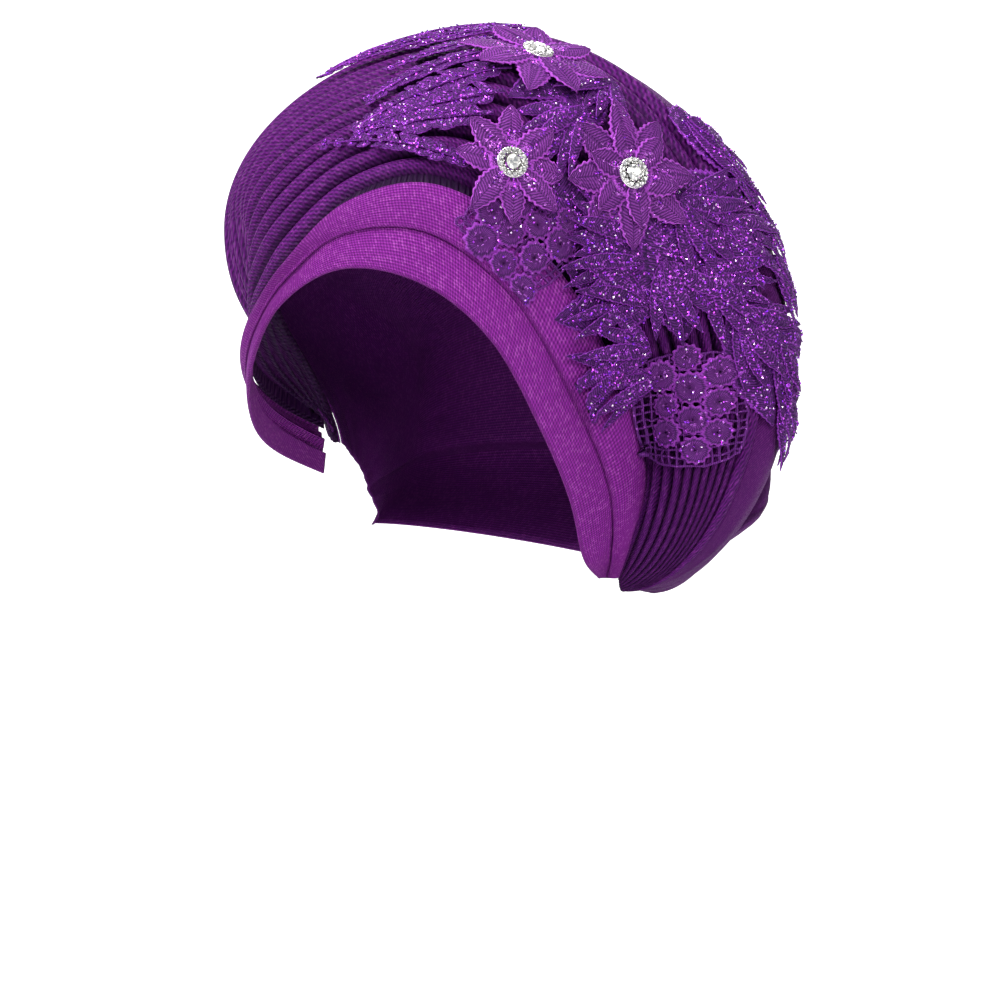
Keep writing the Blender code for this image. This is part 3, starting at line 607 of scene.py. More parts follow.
drape, u, v = cloth("drape_cloth", 200, 100, drape_place, DRAPE_SKIN, 0.60, 0.33)
print("drape", round(measured(drape), 4), "square metres")

# %% [markdown]
# ## The ground of the trim
# The lace is sewn over the finished wrap, so it lies on the crowns of the pleats and not in their
# valleys. This ground runs from the over band's face, where fold is below 0, over the pleats and the
# crest to the drape. It is worked out once into a table, with its slopes, as the wrap was. The lace
# can't follow the sharp step at the over band's top edge, so the ground is smoothed and raised there.

# %% Ground table
LACE_LIFT, LACE_WALL, LAYER_STEP = 0.0006, 0.0010, 0.0014
BAND_BLEND = 0.14
CREST_RAMP = (1.64, 1.86, 2.15, 2.60)
GROUND_LOW = -1.0
GROUND_S, GROUND_FOLD = 501, 321
NORMAL_BLUR = 9
BRIDGE_AT, BRIDGE_HALF, BRIDGE_LIFT = 0.0, 0.30, 0.0010
BRIDGE_BLUR = 7            # the lace bridges the step at the over band's top edge


def cover(s, fold):
    """The surface that the trim lies on, as on the solids."""
    under = np.minimum(fold, 0)
    on_band = band_point(s, 2 + under, over_outer(s, 2 + under))
    held = np.maximum(fold, BAND_BLEND)
    to_crest = np.clip((held - CREST_RAMP[0]) / (CREST_RAMP[1] - CREST_RAMP[0]), 0, 1)
    to_drape = np.clip((held - CREST_RAMP[2]) / (CREST_RAMP[3] - CREST_RAMP[2]), 0, 1)
    height = pleat_height(s, held) * (1 - to_crest) + crest_height(s) * to_crest
    on_fan = lifted(s, held, height * (1 - to_drape))
    mix = np.clip(fold / BAND_BLEND, 0, 1)[..., None]
    return on_band * (1 - mix) + on_fan * mix


def unit(vectors):
    return vectors / np.linalg.norm(vectors, axis=-1)[..., None]


ground_s, ground_fold = np.meshgrid(np.linspace(0, 1, GROUND_S), np.linspace(GROUND_LOW, NAPE, GROUND_FOLD),
                                    indexing="ij")
GROUND = cover(ground_s, ground_fold)
bridge = np.exp(-((ground_fold - BRIDGE_AT) / BRIDGE_HALF)**2)[..., None]
steps = range(-BRIDGE_BLUR, BRIDGE_BLUR + 1)
smooth = sum(np.roll(GROUND, step, axis=1) for step in steps) / len(steps)
outward = unit(np.cross(np.gradient(smooth, axis=0), np.gradient(smooth, axis=1)))
GROUND = GROUND * (1 - bridge) + (smooth + BRIDGE_LIFT * outward) * bridge
GROUND_ALONG = np.gradient(GROUND, 1 / (GROUND_S - 1), axis=0)
GROUND_ACROSS = np.gradient(GROUND, (NAPE - GROUND_LOW) / (GROUND_FOLD - 1), axis=1)
GROUND_NORMAL = unit(np.cross(GROUND_ALONG, GROUND_ACROSS))
spread = range(-(NORMAL_BLUR // 2), NORMAL_BLUR // 2 + 1)
GROUND_NORMAL = unit(sum(np.roll(GROUND_NORMAL, step, axis=1) for step in spread))
print("ground table:", GROUND.shape)


# %% Laying flat lace on the ground
LAYING_STEPS = 8


def on_ground(values, s, fold):
    return read_table(values, s, fold, GROUND_LOW, float(NAPE))


def ground_frame(place):
    """A place's point on the ground, with its directions along a fold, up the folds and outwards."""
    s, fold = np.array(place[0], float), np.array(place[1], float)
    right = unit(on_ground(GROUND_ALONG, s, fold))
    normal = unit(np.cross(right, on_ground(GROUND_ACROSS, s, fold)))
    return on_ground(GROUND, s, fold), right, np.cross(normal, right), normal


def find_places(place, x, y):
    """The s and fold that lie at flat distances x and y from a place."""
    origin, right, up, normal = ground_frame(place)
    target = origin + x[..., None] * right + y[..., None] * up
    s, fold = place[0] + 0 * x, place[1] + 0 * x
    for _ in range(LAYING_STEPS):
        gap = target - on_ground(GROUND, s, fold)
        gap -= (gap @ normal)[..., None] * normal
        along, across = on_ground(GROUND_ALONG, s, fold), on_ground(GROUND_ACROSS, s, fold)
        aa, ac, cc = (along**2).sum(-1), (along * across).sum(-1), (across**2).sum(-1)
        ma, mc = (along * gap).sum(-1), (across * gap).sum(-1)
        scale = aa * cc - ac**2
        s = np.clip(s + (ma * cc - mc * ac) / scale, 0, 1)
        fold = np.clip(fold + (mc * aa - ma * ac) / scale, GROUND_LOW, NAPE)
    return s, fold


def lay(place, x, y, height):
    """Points at a height over the ground, at flat distances x and y from a place, and normals."""
    s, fold = find_places(place, x, y)
    out = unit(on_ground(GROUND_NORMAL, s, fold))
    return on_ground(GROUND, s, fold) + out * height[..., None], out


# %% [markdown]
# ## Petals and leaves
# Machine lace is satin stitch on a base that is washed away: each petal and leaf is a small blade
# with stitches that run out from a midrib, a thick corded edge and a cupped form. One blade function
# makes them all, from a length, a width and a curl. A blade starts as a flat grid, whose rows are
# closer together near the edge, where the cord is.

# %% Blades
STITCH_PITCH = 0.0013
STITCH_HEIGHT = 0.00028
EDGE_CORD_AT, EDGE_CORD_HALF = 0.93, 0.07
LACE_SKIN = 0.00055
EDGE_CROWDING = 1.5
rng = np.random.default_rng(11)
sequin_seats = []


def blade(name, root, angle, length, width, curl=0.0, base=0.0, lift=0.0012, point=0.85, root_width=0.42,
          dome=0.0011, sequins=6, pitch=STITCH_PITCH, spread=0.30):
    """One petal or leaf as named values. angle is 0 along the fold and 90 up the folds."""
    return dict(name=name, root=root, angle=angle, length=length, width=width, curl=curl, base=base,
                lift=lift, point=point, root_width=root_width, dome=dome, sequins=sequins, pitch=pitch,
                spread=spread)


def blade_points(b, along, across):
    """Points and normals of a blade at shares along (0 to 1) and across it (-1 to 1)."""
    turn = math.radians(b["angle"])
    bend = math.radians(b["curl"]) or 1e-6
    middle = b["length"] * np.exp(1j * turn) * (np.exp(1j * bend * along) - 1) / (1j * bend)
    outline = np.sin(np.pi * np.clip(along, 0, 1)**b["point"])
    outline = np.maximum(outline**0.8, b["root_width"] * (1 - along))
    stitch = np.sin(2 * np.pi * (along * b["length"] + 0.55 * np.abs(across) * b["width"] / 2) / b["pitch"])
    tooth = 1 + 0.07 * np.sin(2 * np.pi * along * b["length"] / (2.2 * b["pitch"]))
    half = b["width"] / 2 * np.maximum(outline * tooth, 0.03)
    flat = middle + 1j * np.exp(1j * (turn + bend * along)) * across * half
    edge = np.exp(-((np.abs(across) - EDGE_CORD_AT) / EDGE_CORD_HALF)**2)
    full = np.clip(outline * 3, 0, 1)
    height = b["base"] + b["dome"] * (1 - across**2) * outline
    height = height + STITCH_HEIGHT * stitch * full * (1 - 0.5 * edge)
    height = height + 0.00045 * edge * full - 0.0004 * np.exp(-(across / 0.09)**2) * full
    height = height + b["lift"] * np.clip(along, 0, 1)**2.2
    return lay(b["root"], flat.real, flat.imag, height)


def write_skin(piece, points, flat_u, flat_v, along, across, wall):
    """Give a piece its points, its flat metres and its shares along and across as UV, and a wall."""
    data = piece.data
    data.vertices.foreach_set("co", points.ravel())
    corners = np.zeros(len(data.loops), int)
    data.loops.foreach_get("vertex_index", corners)
    uv = data.uv_layers.new(name="flat_cloth")
    uv.data.foreach_set("uv", np.stack([flat_u[corners], flat_v[corners]], -1).ravel())
    uv = data.uv_layers.new(name="blade")
    uv.data.foreach_set("uv", np.stack([along[corners], across[corners]], -1).ravel())
    data.update()
    skin = piece.modifiers.new("wall", "SOLIDIFY")
    skin.thickness = wall
    skin.offset = -1


def read_points(piece):
    points = np.zeros(len(piece.data.vertices) * 3)
    piece.data.vertices.foreach_get("co", points)
    return points.reshape(-1, 3)


def seat_sequins(b, count, spread):
    """Remember where the sequins of a blade go, along its midrib."""
    along = rng.uniform(0.10, 0.90 if spread > 0.3 else 0.58, count)
    across = np.clip(rng.normal(0, spread, count), -0.9, 0.9)
    points, out = blade_points(b, along, across)
    sequin_seats.extend(zip(points + out * 0.0003, out))


def sew(name, blades, columns, rows):
    """Join blades, each from its own grid, into one piece of lace."""
    bm = bmesh.new()
    for level in range(len(blades)):
        bmesh.ops.create_grid(bm, x_segments=columns, y_segments=rows, size=0.5,
                              matrix=Matrix.Translation((0, 0, level)))
    piece = link(name, bm)
    flat = read_points(piece)
    points, flat_u, flat_v = flat.copy(), np.zeros(len(flat)), np.zeros(len(flat))
    along = flat[:, 0] + 0.5
    share = flat[:, 1] * 2
    across = np.sign(share) * (1 - (1 - np.abs(share))**EDGE_CROWDING)
    for level, b in enumerate(blades):
        own = np.abs(flat[:, 2] - level) < 0.5
        points[own], _ = blade_points(b, along[own], across[own])
        flat_u[own] = along[own] * b["length"] + 0.31 * level
        flat_v[own] = across[own] * b["width"] / 2
        if b["sequins"]:
            seat_sequins(b, b["sequins"], b["spread"])
    write_skin(piece, points, flat_u, flat_v, along, across, LACE_SKIN)
    return piece


# %% [markdown]
# ## The embroidered flowers
# Each flower is cut from the same lace and sewn on by its middle only, so its petals stand up a
# little at their tips and throw small shadows. A round of radial stitches joins the petals under the
# brooch. Petals are varied by a few percent with a seeded random, as hand trimming does.

# %% Round lace
def rounds(name, seats, rings, steps, height_of, wall=LACE_SKIN):
    """Round pieces of lace, one for each seat of place, x, y, radius and base height."""
    bm = bmesh.new()
    for level, seat in enumerate(seats):
        made = bmesh.ops.create_grid(bm, x_segments=rings, y_segments=steps, size=0.5)["verts"]
        for vert in made:
            r, a = 0.06 + 0.94 * (vert.co.x + 0.5), 2 * math.pi * (vert.co.y + 0.5)
            vert.co = (r * math.cos(a), r * math.sin(a), level)
        bmesh.ops.remove_doubles(bm, verts=made, dist=1e-4)
    piece = link(name, bm)
    flat = read_points(piece)
    points, flat_u, flat_v = flat.copy(), np.zeros(len(flat)), np.zeros(len(flat))
    for level, (place, x, y, radius, base) in enumerate(seats):
        own = np.abs(flat[:, 2] - level) < 0.5
        r, a = np.hypot(flat[own, 0], flat[own, 1]), np.arctan2(flat[own, 1], flat[own, 0])
        reach, height = height_of(r, a, radius)
        points[own], _ = lay(place, x + reach * np.cos(a), y + reach * np.sin(a), base + height)
        flat_u[own], flat_v[own] = a * radius, r * radius
    write_skin(piece, points, flat_u, flat_v, 0.5 + 0 * flat_u, np.hypot(flat[:, 0], flat[:, 1]), wall)
    return piece


def stitched_disc(r, a, radius):
    """A radially stitched disc with a thick rim."""
    rib = 0.00018 * np.sin(a * 40) * np.clip(r * 2, 0, 1)
    return r * radius, rib + 0.0004 * np.exp(-((r - 0.92) / 0.07)**2)


# %% Flowers
# Flowers: place, turn in degrees, petal length, petal width, petals, layer, tip lift
FLOWERS = (
    ("flower_top", (0.556, 1.32), 12, 0.0290, 0.0138, 8, 1, 0.0034),
    ("flower_front", (0.560, 0.28), 26, 0.0240, 0.0118, 8, 1, 0.0018),
    ("flower_side", (0.666, 0.98), 14, 0.0300, 0.0136, 8, 1, 0.0020),
    ("flower_side_upper", (0.666, 0.98), 36, 0.0205, 0.0112, 6, 2, 0.0022),
)
PETAL_STEP = 0.0011
flowers = {}
for name, place, turn, length, width, count, layer, lift in FLOWERS:
    petals = []
    for number in range(count):
        vary = rng.normal(1, 0.05, 3)
        base = LACE_LIFT + LACE_WALL + layer * LAYER_STEP + PETAL_STEP * (number % 2)
        petals.append(blade(name, place, turn + 360 * number / count + 5 * (vary[0] - 1) * 10,
                            length * vary[0], width * vary[1], curl=8 * (vary[2] - 1) * 10, base=base,
                            lift=lift * vary[2], point=1.15, root_width=0.22, sequins=10, spread=0.16))
    flowers[name] = sew(name + "_petals", petals, 92, 10)
heart_seats = [(place, 0, 0, 0.0095, LACE_LIFT + LACE_WALL + (layers - 1) * LAYER_STEP + 0.0010)
               for place, layers in (((0.556, 1.32), 2), ((0.560, 0.28), 2), ((0.666, 0.98), 3))]
hearts = rounds("flower_hearts", heart_seats, 8, 120, stitched_disc)
print("petals:", sum(row[5] for row in FLOWERS))

# %% [markdown]
# ## Leaf fans and feathery fronds
# Between the flowers the lace is cut into sprays. At the side they are fans of big leaves that
# overlap like tiles. Towards the brow they are fronds: a cord with small leaflets on both sides.
# Each fan is one line of a table with its first and last angle, so a spray is easy to turn or fill.
# Some fans cover cloth between the flowers that has no lace solid under it.

# %% Leaf fans
# Fans: piece, root, first angle, last angle, leaves, length, width, curl
LEAF_FANS = (
    ("side_front_leaves", (0.700, 1.10), 230, 250, 2, 0.060, 0.0250, 6),
    ("side_front_leaves", (0.735, 0.70), 225, 250, 2, 0.046, 0.0220, 6),
    ("side_front_leaves", (0.694, 0.75), 196, 250, 5, 0.034, 0.0066, 12),
    ("side_front_leaves", (0.706, 0.70), 204, 262, 5, 0.036, 0.0068, 14),
    ("side_front_leaves", (0.722, 0.55), 198, 258, 5, 0.038, 0.0068, 14),
    ("side_front_leaves", (0.742, 0.40), 204, 268, 5, 0.036, 0.0068, 14),
    ("side_front_leaves", (0.716, 0.02), 222, 276, 4, 0.034, 0.0066, 12),
    ("side_front_leaves", (0.762, 0.40), 228, 282, 4, 0.032, 0.0066, 12),
    ("side_front_leaves", (0.600, 1.45), 245, 285, 2, 0.050, 0.0230, 6),
    ("side_front_leaves", (0.608, 1.55), 228, 296, 6, 0.034, 0.0070, 12),
    ("side_front_leaves", (0.612, 1.05), 225, 292, 6, 0.032, 0.0068, 12),
    ("rear_upper_leaves", (0.640, 1.90), 20, 50, 2, 0.050, 0.0240, 8),
    ("rear_upper_leaves", (0.650, 2.00), 4, 70, 5, 0.034, 0.0076, 14),
    ("rear_upper_leaves", (0.672, 2.30), 6, 66, 5, 0.034, 0.0076, 14),
    ("rear_upper_leaves", (0.700, 2.60), 6, 60, 4, 0.032, 0.0074, 14),
    ("side_upper_leaves", (0.695, 1.10), -14, 16, 2, 0.056, 0.0270, 4),
    ("side_upper_leaves", (0.690, 1.20), 18, 62, 3, 0.058, 0.0260, 8),
    ("side_upper_leaves", (0.700, 1.30), -20, 84, 8, 0.036, 0.0076, 16),
    ("side_upper_leaves", (0.718, 1.70), -6, 80, 7, 0.036, 0.0076, 16),
    ("side_upper_leaves", (0.722, 0.90), -30, 30, 5, 0.034, 0.0072, 14),
    ("side_upper_leaves", (0.742, 1.30), -10, 84, 7, 0.034, 0.0074, 16),
    ("side_upper_leaves", (0.735, 2.70), 10, 76, 5, 0.032, 0.0074, 16),
    ("side_lower_leaves", (0.775, 1.50), 18, 58, 3, 0.056, 0.0240, 10),
    ("side_lower_leaves", (0.772, 1.60), -10, 78, 7, 0.034, 0.0074, 18),
    ("side_lower_leaves", (0.785, 2.30), -4, 84, 6, 0.034, 0.0074, 18),
    ("side_lower_leaves", (0.800, 3.60), 2, 96, 5, 0.032, 0.0072, 16),
    ("side_lower_leaves", (0.815, 2.60), 10, 90, 5, 0.032, 0.0072, 16),
)
GROUND_LACE_WIDTH = 0.02   # blades wider than this are the glitter ground under the leaves
leaves = {}
for name, root, first, last, count, length, width, curl in LEAF_FANS:
    for number in range(count):
        vary = rng.normal(1, 0.07, 3)
        angle = first + (last - first) * number / max(count - 1, 1)
        ground_lace = width > GROUND_LACE_WIDTH
        base = LACE_LIFT + (0.0004 if ground_lace else 0.0016 + 0.0009 * (number % 3))
        leaves.setdefault(name, []).append(
            blade(name, root, angle + 40 * (vary[0] - 1), length * vary[0], width * vary[1], curl * vary[2],
                  base, lift=0.0002 if ground_lace else 0.0018, point=0.78, root_width=0.25,
                  sequins=70 if ground_lace else 16, pitch=0.0013, spread=0.5 if ground_lace else 0.34))
leaf_pieces = {name: sew(name, blades, 56, 6) for name, blades in leaves.items()}
print("leaves:", {name: len(blades) for name, blades in leaves.items()})

# %% Fronds
LEAFLET_STEP = 0.0041
LEAFLET_SPLAY = 44
# Fronds: piece, root, angle, length, curl, leaflet length, leaflet width
FRONDS = (
    ("front_fronds", (0.533, 1.95), 204, 0.050, 14, 0.0115, 0.0042),
    ("front_fronds", (0.538, 1.62), 208, 0.056, 12, 0.0120, 0.0044),
    ("front_fronds", (0.542, 1.32), 211, 0.060, 10, 0.0120, 0.0044),
    ("front_fronds", (0.545, 1.04), 212, 0.060, 8, 0.0120, 0.0044),
    ("front_fronds", (0.546, 0.80), 210, 0.056, 4, 0.0115, 0.0042),
    ("front_fronds", (0.540, 0.60), 206, 0.050, 0, 0.0110, 0.0042),
    ("crest_fronds", (0.520, 2.02), 180, 0.084, 6, 0.0110, 0.0040),
    ("crest_fronds", (0.500, 1.76), 178, 0.066, 8, 0.0105, 0.0040),
    ("crest_fronds", (0.500, 2.24), 184, 0.052, -6, 0.0100, 0.0040),
    ("brow_fronds", (0.535, 0.16), 183, 0.056, 4, 0.0075, 0.0034),
)


def frond(name, root, angle, length, curl, leaf_length, leaf_width):
    """A cord from root along a slow curve, with leaflets on both sides that shrink to the tip."""
    share = np.linspace(0, 1, int(length / LEAFLET_STEP))
    turn, bend = math.radians(angle), math.radians(curl) or 1e-6
    path = length * np.exp(1j * turn) * (np.exp(1j * bend * share) - 1) / (1j * bend)
    places = find_places(root, path.real, path.imag)
    run = np.gradient(on_ground(GROUND, *places), axis=0)
    base = LACE_LIFT + 0.0012
    made = [blade(name, root, angle, length, 0.0022, curl, base + 0.0008, lift=0.0004, point=0.4,
                  root_width=1.0, dome=0.0009, sequins=14, pitch=0.0011)]
    for t, s, fold, way in zip(share[1:], places[0][1:], places[1][1:], run[1:]):
        _, right, up, _ = ground_frame((s, fold))
        heading = math.degrees(math.atan2(way @ up, way @ right))
        size = (0.55 + 0.9 * math.sin(math.pi * min(t + 0.12, 1))) / 1.4
        for side in (-1, 1):
            vary = rng.normal(1, 0.10, 3)
            made.append(blade(name, (s, fold), heading + side * LEAFLET_SPLAY * vary[0],
                              leaf_length * size * vary[1], leaf_width * vary[2], -side * 22, base,
                              lift=0.0010, point=0.8, root_width=0.3, dome=0.0007, sequins=2, pitch=0.0011))
    return made


sprigs = {}
for name, *row in FRONDS:
    sprigs.setdefault(name, []).extend(frond(name, *row))
frond_pieces = {name: sew(name, blades, 14, 4) for name, blades in sprigs.items()}
print("leaflets:", {name: len(blades) for name, blades in sprigs.items()})

# %% [markdown]
# ## Net and small round flowers
# The open ground of the lace is a crocheted net. A grid whose faces are turned to wires gives bars of
# even width with clean crossings. Small round flowers with twelve scallops sit on its knots in
# staggered rows, and tiny rings hang along its lower edge.

# %% Net
NET_CELL, NET_BAR = 0.0034, 0.0010
NET_CORNER = 0.16
# Nets: piece, place, turn, cells across, cells down
NETS = (
    ("front_net", (0.585, -0.02), -8, 14, 11),
    ("side_net", (0.812, 0.80), 0, 14, 13),
)


def crochet(name, place, turn, columns, rows):
    bm = bmesh.new()
    bmesh.ops.create_grid(bm, x_segments=columns, y_segments=rows, size=0.5)
    bmesh.ops.scale(bm, vec=(columns * NET_CELL, rows * NET_CELL, 1), verts=bm.verts)
    for vert in bm.verts:
        x, y = vert.co.x / (columns * NET_CELL / 2), vert.co.y / (rows * NET_CELL / 2)
        pull = 1 - NET_CORNER * x * x * y * y
        shake = rng.normal(0, 0.00035, 2)
        vert.co = (vert.co.x * pull + shake[0], vert.co.y * pull + shake[1], 0)
    bmesh.ops.rotate(bm, matrix=Matrix.Rotation(math.radians(turn), 3, "Z"), verts=bm.verts)
    bmesh.ops.subdivide_edges(bm, edges=bm.edges, cuts=1, use_grid_fill=False)
    bmesh.ops.wireframe(bm, faces=bm.faces, thickness=NET_BAR, offset=0, use_replace=True,
                        use_boundary=True, use_even_offset=True)
    piece = link(name, bm)
    flat = read_points(piece)
    points, _ = lay(place, flat[:, 0], flat[:, 1], LACE_LIFT + NET_BAR / 2 + flat[:, 2])
    piece.data.vertices.foreach_set("co", points.ravel())
    piece.data.update()
    return piece


nets = {name: crochet(name, *row) for name, *row in NETS}
print("net faces:", {name: len(piece.data.polygons) for name, piece in nets.items()})

# %% Small round flowers
FLORET_RADIUS, FLORET_PITCH = 0.0062, 0.0128
FLORET_SCALLOPS = 12
RING_RADIUS = 0.0024


def floret(r, a, radius):
    """A small flower: scalloped rim, radial stitches and a sunken heart."""
    reach = r * radius * (1 + 0.09 * np.cos(a * FLORET_SCALLOPS) * r**3)
    height = 0.0009 * np.sin(np.pi * np.clip(r, 0, 1)**1.2) + 0.00018 * np.sin(a * 24) * r
    return reach, height


def ring_bud(r, a, radius):
    return (0.42 + 0.58 * r) * radius, 0.0007 * np.sin(np.pi * r)


def carries(place, x, y, radius):
    """Whether the ground is smooth enough here for a small round piece."""
    turn = np.linspace(0, 2 * np.pi, 9)
    points, _ = lay(place, x + radius * np.cos(turn), y + radius * np.sin(turn), 0 * turn)
    steps = np.linalg.norm(np.diff(points, axis=0), axis=-1)
    return steps.max() < 1.35 * 2 * np.pi * radius / 8


floret_seats, bud_seats = [], []
for name, place, turn, columns, rows in NETS:
    wide, high = columns * NET_CELL * 0.46, rows * NET_CELL * 0.46
    line = 0
    y = -high
    while y <= high:
        x = -wide + (line % 2) * FLORET_PITCH / 2
        while x <= wide:
            if (x / wide)**4 + (y / high)**4 < 1.5:
                seat = complex(x, y) * np.exp(1j * math.radians(turn)) + complex(*rng.normal(0, 0.0007, 2))
                size = FLORET_RADIUS * rng.normal(1, 0.08)
                floret_seats.append((place, seat.real, seat.imag, size, LACE_LIFT + 0.0013))
            x += FLORET_PITCH
        line += 1
        y += FLORET_PITCH * 0.86
    for number in range(columns):
        along = (number + 0.5) / columns * 2 - 1
        drop = complex(along * wide, -high * (1.10 - 0.10 * along**2)) * np.exp(1j * math.radians(turn))
        bud_seats.append((place, drop.real, drop.imag, RING_RADIUS, LACE_LIFT + 0.0006))
floret_seats = [seat for seat in floret_seats if carries(*seat[:4])]
bud_seats = [seat for seat in bud_seats if carries(*seat[:4])]
florets = rounds("net_florets", floret_seats, 6, 60, floret)
buds = rounds("net_buds", bud_seats, 5, 20, ring_bud)
for place, x, y, radius, base in floret_seats:
    away, turn = radius * np.sqrt(rng.uniform(0.0, 0.8, 6)), rng.uniform(0, 2 * np.pi, 6)
    points, out = lay(place, x + away * np.cos(turn), y + away * np.sin(turn), base + 0.0011 + 0 * away)
    sequin_seats.extend(zip(points, out))
print("small flowers:", len(floret_seats), "rings:", len(bud_seats))

# %% [markdown]
# ## Sequins
# The sparkle is thousands of cup sequins about a millimetre wide, sewn flat but never quite flat.
# Each is a low six-sided cone with its own small tilt, so a few at a time catch the light. All are
# joined in one piece, and a UV map holds one tone for each sequin.

# %% Sequins
SEQUIN_RADIUS, SEQUIN_HEIGHT = 0.00058, 0.00026
SEQUIN_TILT = 24


def sequin_piece(name, seats):
    bm = bmesh.new()
    for point, out in seats:
        lean = Vector(rng.normal(0, math.radians(SEQUIN_TILT), 3))
        facing = (Vector(out) + lean).to_track_quat("Z", "Y").to_matrix().to_4x4()
        bmesh.ops.create_cone(bm, cap_ends=True, segments=6, radius1=SEQUIN_RADIUS * rng.uniform(0.8, 1.15),
                              radius2=SEQUIN_RADIUS * 0.45, depth=SEQUIN_HEIGHT,
                              matrix=Matrix.Translation(Vector(point)) @ facing)
    data = bpy.data.meshes.new(name)
    bm.to_mesh(data)
    bm.free()
    corners_each = len(data.loops) // len(seats)
    tones = np.repeat(rng.uniform(0, 1, len(seats)), corners_each)
    data.uv_layers.new(name="tone").data.foreach_set("uv", np.stack([tones, tones], -1).ravel())
    piece = bpy.data.objects.new(name, data)
    bpy.context.scene.collection.objects.link(piece)
    return piece


sequins = sequin_piece("sequins", sequin_seats)
print("sequins:", len(sequin_seats))

# %% [markdown]
# ## Brooches
# Each flower is pinned with a turned silver cup. A round of small stones sits in beads of metal, and
# one larger stone stands in the middle. Cut stones need flat facets, so they are cones with few
# sides, left unsmoothed, and the metal between them is small balls.

# %% Brooches
BROOCH_RADIUS, BROOCH_BASE = 0.0066, 0.0014
RIM_STONES, RIM_STONE_HEIGHT = 13, 0.0012
CENTRE_SHARE, CENTRE_HEIGHT = 0.56, 0.0030
BROOCH_SEAT = 0.0004
# Brooches: name, place, layers of lace under it, width of the centre stone
BROOCHES = (
    ("brooch_top", (0.556, 1.32), 2, 1.0),
    ("brooch_front", (0.560, 0.28), 2, 0.84),
    ("brooch_side", (0.666, 0.98), 3, 1.0),
)


def cut_stone(bm, radius, height, seat, sides=8):
    """A cut stone: a crown with a flat table over a shorter pavilion, with its table edge bevelled."""
    crown = bmesh.ops.create_cone(bm, cap_ends=True, segments=sides, radius1=radius, radius2=radius * 0.62,
                                  depth=height * 0.55,
                                  matrix=seat @ Matrix.Translation((0, 0, height * 0.70)))
    edges = {edge for vert in crown["verts"] for edge in vert.link_edges}
    top = seat.to_3x3() @ Vector((0, 0, 1))
    high = max(vert.co @ top for vert in crown["verts"])
    table = [edge for edge in edges if all(vert.co @ top > high - height * 0.05 for vert in edge.verts)]
    bmesh.ops.bevel(bm, geom=table, offset=radius * 0.16, affect="EDGES", segments=1, profile=0.5,
                    material=-1)
    bmesh.ops.create_cone(bm, cap_ends=True, segments=sides, radius1=radius * 0.4, radius2=radius,
                          depth=height * 0.42, matrix=seat @ Matrix.Translation((0, 0, height * 0.21)))


def flat_piece(name, bm):
    data = bpy.data.meshes.new(name)
    bm.to_mesh(data)
    bm.free()
    piece = bpy.data.objects.new(name, data)
    bpy.context.scene.collection.objects.link(piece)
    return piece


def brooch_seat(place, layers):
    origin, right, up, normal = (Vector(v) for v in ground_frame(place))
    lift = LACE_LIFT + (layers - 1) * LAYER_STEP + LACE_WALL + GAP + BROOCH_SEAT
    turn = Matrix((right, up, normal)).transposed().to_4x4()
    return Matrix.Translation(origin + normal * lift) @ turn


brooches = {}
for name, place, layers, oval in BROOCHES:
    seat = brooch_seat(place, layers)
    centre = BROOCH_RADIUS * CENTRE_SHARE
    middle = (BROOCH_RADIUS + centre) / 2 + 0.0002
    cup = bmesh.new()
    profile = ((0.0, 0.0008), (centre, 0.0008), (centre, BROOCH_BASE), (middle, BROOCH_BASE * 0.8),
               (BROOCH_RADIUS * 0.97, BROOCH_BASE), (BROOCH_RADIUS, BROOCH_BASE * 0.7),
               (BROOCH_RADIUS, 0.0002), (BROOCH_RADIUS * 0.95, 0.0), (0.0, 0.0))
    line = [cup.verts.new((r, 0, z)) for r, z in profile]
    line_edges = [cup.edges.new(pair) for pair in zip(line, line[1:])]
    bmesh.ops.spin(cup, geom=line + line_edges, cent=(0, 0, 0), axis=(0, 0, 1), angle=2 * math.pi, steps=39,
                   use_merge=True)
    bmesh.ops.remove_doubles(cup, verts=cup.verts, dist=0.00002)
    bmesh.ops.recalc_face_normals(cup, faces=cup.faces)
    bmesh.ops.transform(cup, matrix=seat, verts=cup.verts)
    gems = bmesh.new()
    for number in range(RIM_STONES):
        spin = Matrix.Rotation(2 * math.pi * number / RIM_STONES, 4, "Z")
        at = seat @ spin @ Matrix.Translation((middle, 0, BROOCH_BASE * 0.75))
        cut_stone(gems, 0.00118, RIM_STONE_HEIGHT * 1.25, at)
        between = seat @ Matrix.Rotation(2 * math.pi * (number + 0.5) / RIM_STONES, 4, "Z")
        for out in (BROOCH_RADIUS - 0.0004, centre + 0.0004):
            bead = between @ Matrix.Translation((out, 0, BROOCH_BASE + 0.0003))
            bmesh.ops.create_icosphere(cup, subdivisions=2, radius=0.00042, matrix=bead)
    squeeze = Matrix.Diagonal((oval, 1, 1, 1))
    cut_stone(gems, centre * 0.94, CENTRE_HEIGHT, seat @ squeeze @ Matrix.Translation((0, 0, 0.0009)), 12)
    brooches[name] = (link(name + "_cup", cup), flat_piece(name + "_gems", gems))
print("brooches:", len(brooches))
